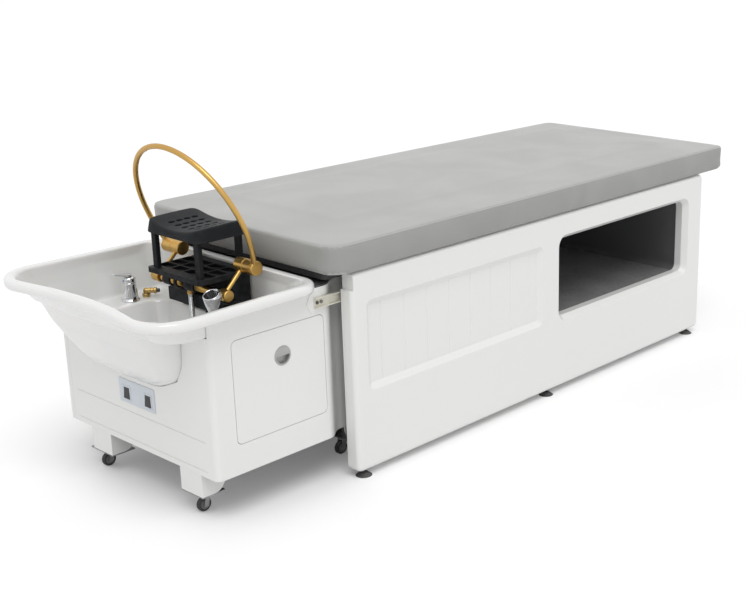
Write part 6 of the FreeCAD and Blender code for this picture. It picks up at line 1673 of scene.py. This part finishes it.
@dataclass
class HandShower:
    """Chrome hand shower in its holder, on the ribbed hose."""

    x: float = -731 * MM
    y: float = -130 * MM
    low: float = 387 * MM
    length: float = 92 * MM
    radius: float = 22 * MM
    level_share: Row = (0.0, 0.42, 0.62, 0.80, 0.93, 1.0)
    radius_share: Row = (0.42, 0.50, 0.80, 1.0, 0.92, 0.62)
    dome_start: float = 0.82
    smoothing: int = 11
    head_share: float = 0.76
    face_way: Row = (-0.39, -0.13, 0.91)
    face_off: float = 9 * MM
    face_rows: Rows = (
        (18.6, -1.0, 0.0), (18.6, 1.2, 0.5), (17.2, 1.8, 0.4), (16.2, 1.0, 0.3), (0.4, 0.7, 0.0),
    )
    outlet_rings: tuple[tuple[int, float], ...] = ((1, 0.0), (6, 4.4), (12, 8.8), (18, 13.2))
    outlet_rows: Rows = ((0.9, -0.6), (0.9, 0.5), (0.4, 0.8))
    outlet_level: float = 0.8
    hose_radius: float = 6.5 * MM
    rib_pitch: float = 2.4 * MM
    rib_depth: float = 0.55 * MM
    hose_route: Rows = (
        (-0.693, 0.004, 0.432),
        (-0.693, 0.004, 0.400),
        (-0.698, -0.002, 0.362),
        (-0.706, -0.022, 0.328),
        (-0.715, -0.058, 0.309),
        (-0.724, -0.098, 0.319),
        (-0.731, -0.130, 0.352),
        (-0.731, -0.130, 0.3867),
    )

    def handle(self) -> Surface:
        """Turned handle and head, flattened at the face.

        The radius follows the shares, smoothed, and a quarter ellipse over the dome. Every point
        that would lie in front of the face's plane is moved back onto it, along the face's direction.
        """
        share = np.linspace(0, 1, 60)
        width = np.interp(share, self.level_share, self.radius_share)
        kernel = np.hanning(self.smoothing)
        wider = np.pad(width, self.smoothing // 2, mode="edge")
        width = np.convolve(wider, kernel / kernel.sum(), mode="valid")
        top = self.dome_start
        dome = np.sqrt(np.clip(1 - ((share - top) / (1 - top)) ** 2, 0, 1))
        width = np.where(share > top, np.interp(top, share, width) * np.maximum(dome, 0.02), width)
        profile = np.stack([width * self.radius, share * self.length], -1)
        body = turned(profile, (self.x, self.y, self.low), Along.Z, 56)
        way, middle = self.face_place()
        ahead = np.maximum((body.points - middle) @ way, 0)
        body.points -= ahead[:, None] * way
        return body

    def face_place(self) -> tuple[np.ndarray, np.ndarray]:
        """Direction that the spray face looks in, and the middle of its plane."""
        way = unit(np.array(self.face_way))
        head = np.array((self.x, self.y, self.low + self.length * self.head_share))
        return way, head + way * self.face_off

    def face(self) -> Surface:
        """Round spray face with a raised rim and a dished middle."""
        return lathe(self.face_rows, (0.0, 0.0, 0.0), Along.Z, 48).tipped(*self.face_place())

    def spray(self) -> Surface:
        """Outlets of the spray face, in rings."""
        profile = np.array(self.outlet_rows) * MM
        dots = []
        for count, ring in self.outlet_rings:
            for turn in np.linspace(0, 2 * math.pi, count, endpoint=False):
                place = np.array((ring * math.cos(turn), ring * math.sin(turn), self.outlet_level)) * MM
                dots.append(turned(profile, place, Along.Z, 10))
        return joined(dots).tipped(*self.face_place())

    def hose_line(self) -> np.ndarray:
        """Points of the smooth line through the hose's route, read from its spline."""
        curve = bpy.data.curves.new("hose_route", "CURVE")
        curve.dimensions = "3D"
        spline = curve.splines.new("NURBS")
        spline.points.add(len(self.hose_route) - 1)
        for point, place in zip(spline.points, self.hose_route):
            point.co = (*place, 1.0)
        spline.order_u = 3
        spline.use_endpoint_u = True
        spline.resolution_u = 24
        route = bpy.data.objects.new("hose_route", curve)
        bpy.context.scene.collection.objects.link(route)
        line = SHOP.finished(route)
        bpy.data.objects.remove(route)
        return points_of(line)

    def hose(self) -> tuple[Surface, np.ndarray]:
        """Ribbed tube along the route: the radius is a raised cosine of the distance along it.

        Returns:
            The tube, and the points that it follows.
        """
        line = self.hose_line()
        far = distances(line)
        where = np.linspace(0, far[-1], int(far[-1] / self.rib_pitch * 6))
        path = placed(line, far, where)
        rib = 0.5 + 0.5 * np.cos(2 * math.pi * where / self.rib_pitch)
        end = np.minimum(where, far[-1] - where)
        radius = self.hose_radius - self.rib_depth * rib * np.clip(end / (4 * MM) - 1, 0, 1)
        return tube(path, radius, (1.0, 0.05, 0.0), 20), path

    def build(self) -> None:
        """Make the hose first, then the hand shower and its face."""
        surface, path = self.hose()
        hose = SHOP.from_surface("shower_hose_ribbed", surface, HOSE_CHROME,
                                 Seat("wash_unit", ("shower_hose",)), EdgeFinish(sharp=80.0))
        body = joined([self.handle(), self.face()])
        SHOP.from_surface("hand_shower_body", body, CHROME, Seat("shower_head", ("hand_shower",)),
                          EdgeFinish(sharp=40.0))
        SHOP.from_surface("hand_shower_outlets", self.spray(), BLACK_PLASTIC, Seat("shower_head"))


@dataclass
class Casters:
    """Four swivel casters: rubber tyre, moulded hub and pressed fork. The rows are for lathe()."""

    names: tuple[str, ...] = ("near_front", "far_front", "near_rear", "far_rear")
    tyre_rows: Rows = (
        (11.0, -5.9, 0.4), (14.5, -6.5, 1.0), (17.0, -4.0, 1.6), (17.0, -0.8, 0.3), (16.5, 0.0, 0.3),
        (17.0, 0.8, 0.3), (17.0, 4.0, 1.6), (14.5, 6.5, 1.0), (11.0, 5.9, 0.4),
    )
    hub_rows: Rows = (
        (2.05, 7.0, 0.2), (4.4, 7.0, 0.4), (4.8, 5.0, 0.5), (8.6, 5.0, 0.5), (9.2, 6.6, 0.4),
        (11.0, 6.4, 0.3), (11.0, -6.4, 0.3), (9.2, -6.6, 0.4), (8.6, -5.0, 0.5), (4.8, -5.0, 0.5),
        (4.4, -7.0, 0.4), (2.05, -7.0, 0.2),
    )

    def build(self) -> None:
        """Make the four casters round their own wheels' places."""
        for name in self.names:
            low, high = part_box(name + "_caster_tyre")
            place = tuple((low + high) / 2)
            for part, rows, sides, finish in (("tyre", self.tyre_rows, 56, BLACK_RUBBER),
                                              ("hub", self.hub_rows, 40, HUB_GREY)):
                surface = lathe(rows, place, Along.Y, sides, closed=True)
                SHOP.from_surface(f"{name}_{part}", surface, finish,
                                  Seat(name + "_wheel", (f"{name}_caster_{part}",)))
            SHOP.from_nodes(BRACKET_STEEL, SHEET_EDGE, name + "_caster_fork")


def main() -> None:
    """Build the studio and every sub-assembly in order, reporting each."""
    logging.basicConfig(level=logging.INFO, format="%(name)s: %(message)s")
    bpy.context.scene.view_settings.view_transform = "Standard"
    studio = Photographer()
    studio.camera()
    for assembly in (HandShower(), Mattress(), BedBase(), WashCabinet(), Basin(), Tap(), NeckSupport(),
                     WaterHalo(), Casters()):
        assembly.build()
        LOG.info("%s built, %d pieces so far", type(assembly).__name__, len(SHOP.pieces))
    studio.floor()
    studio.light()
    bpy.context.view_layer.update()


if __name__ == "__main__":
    main()
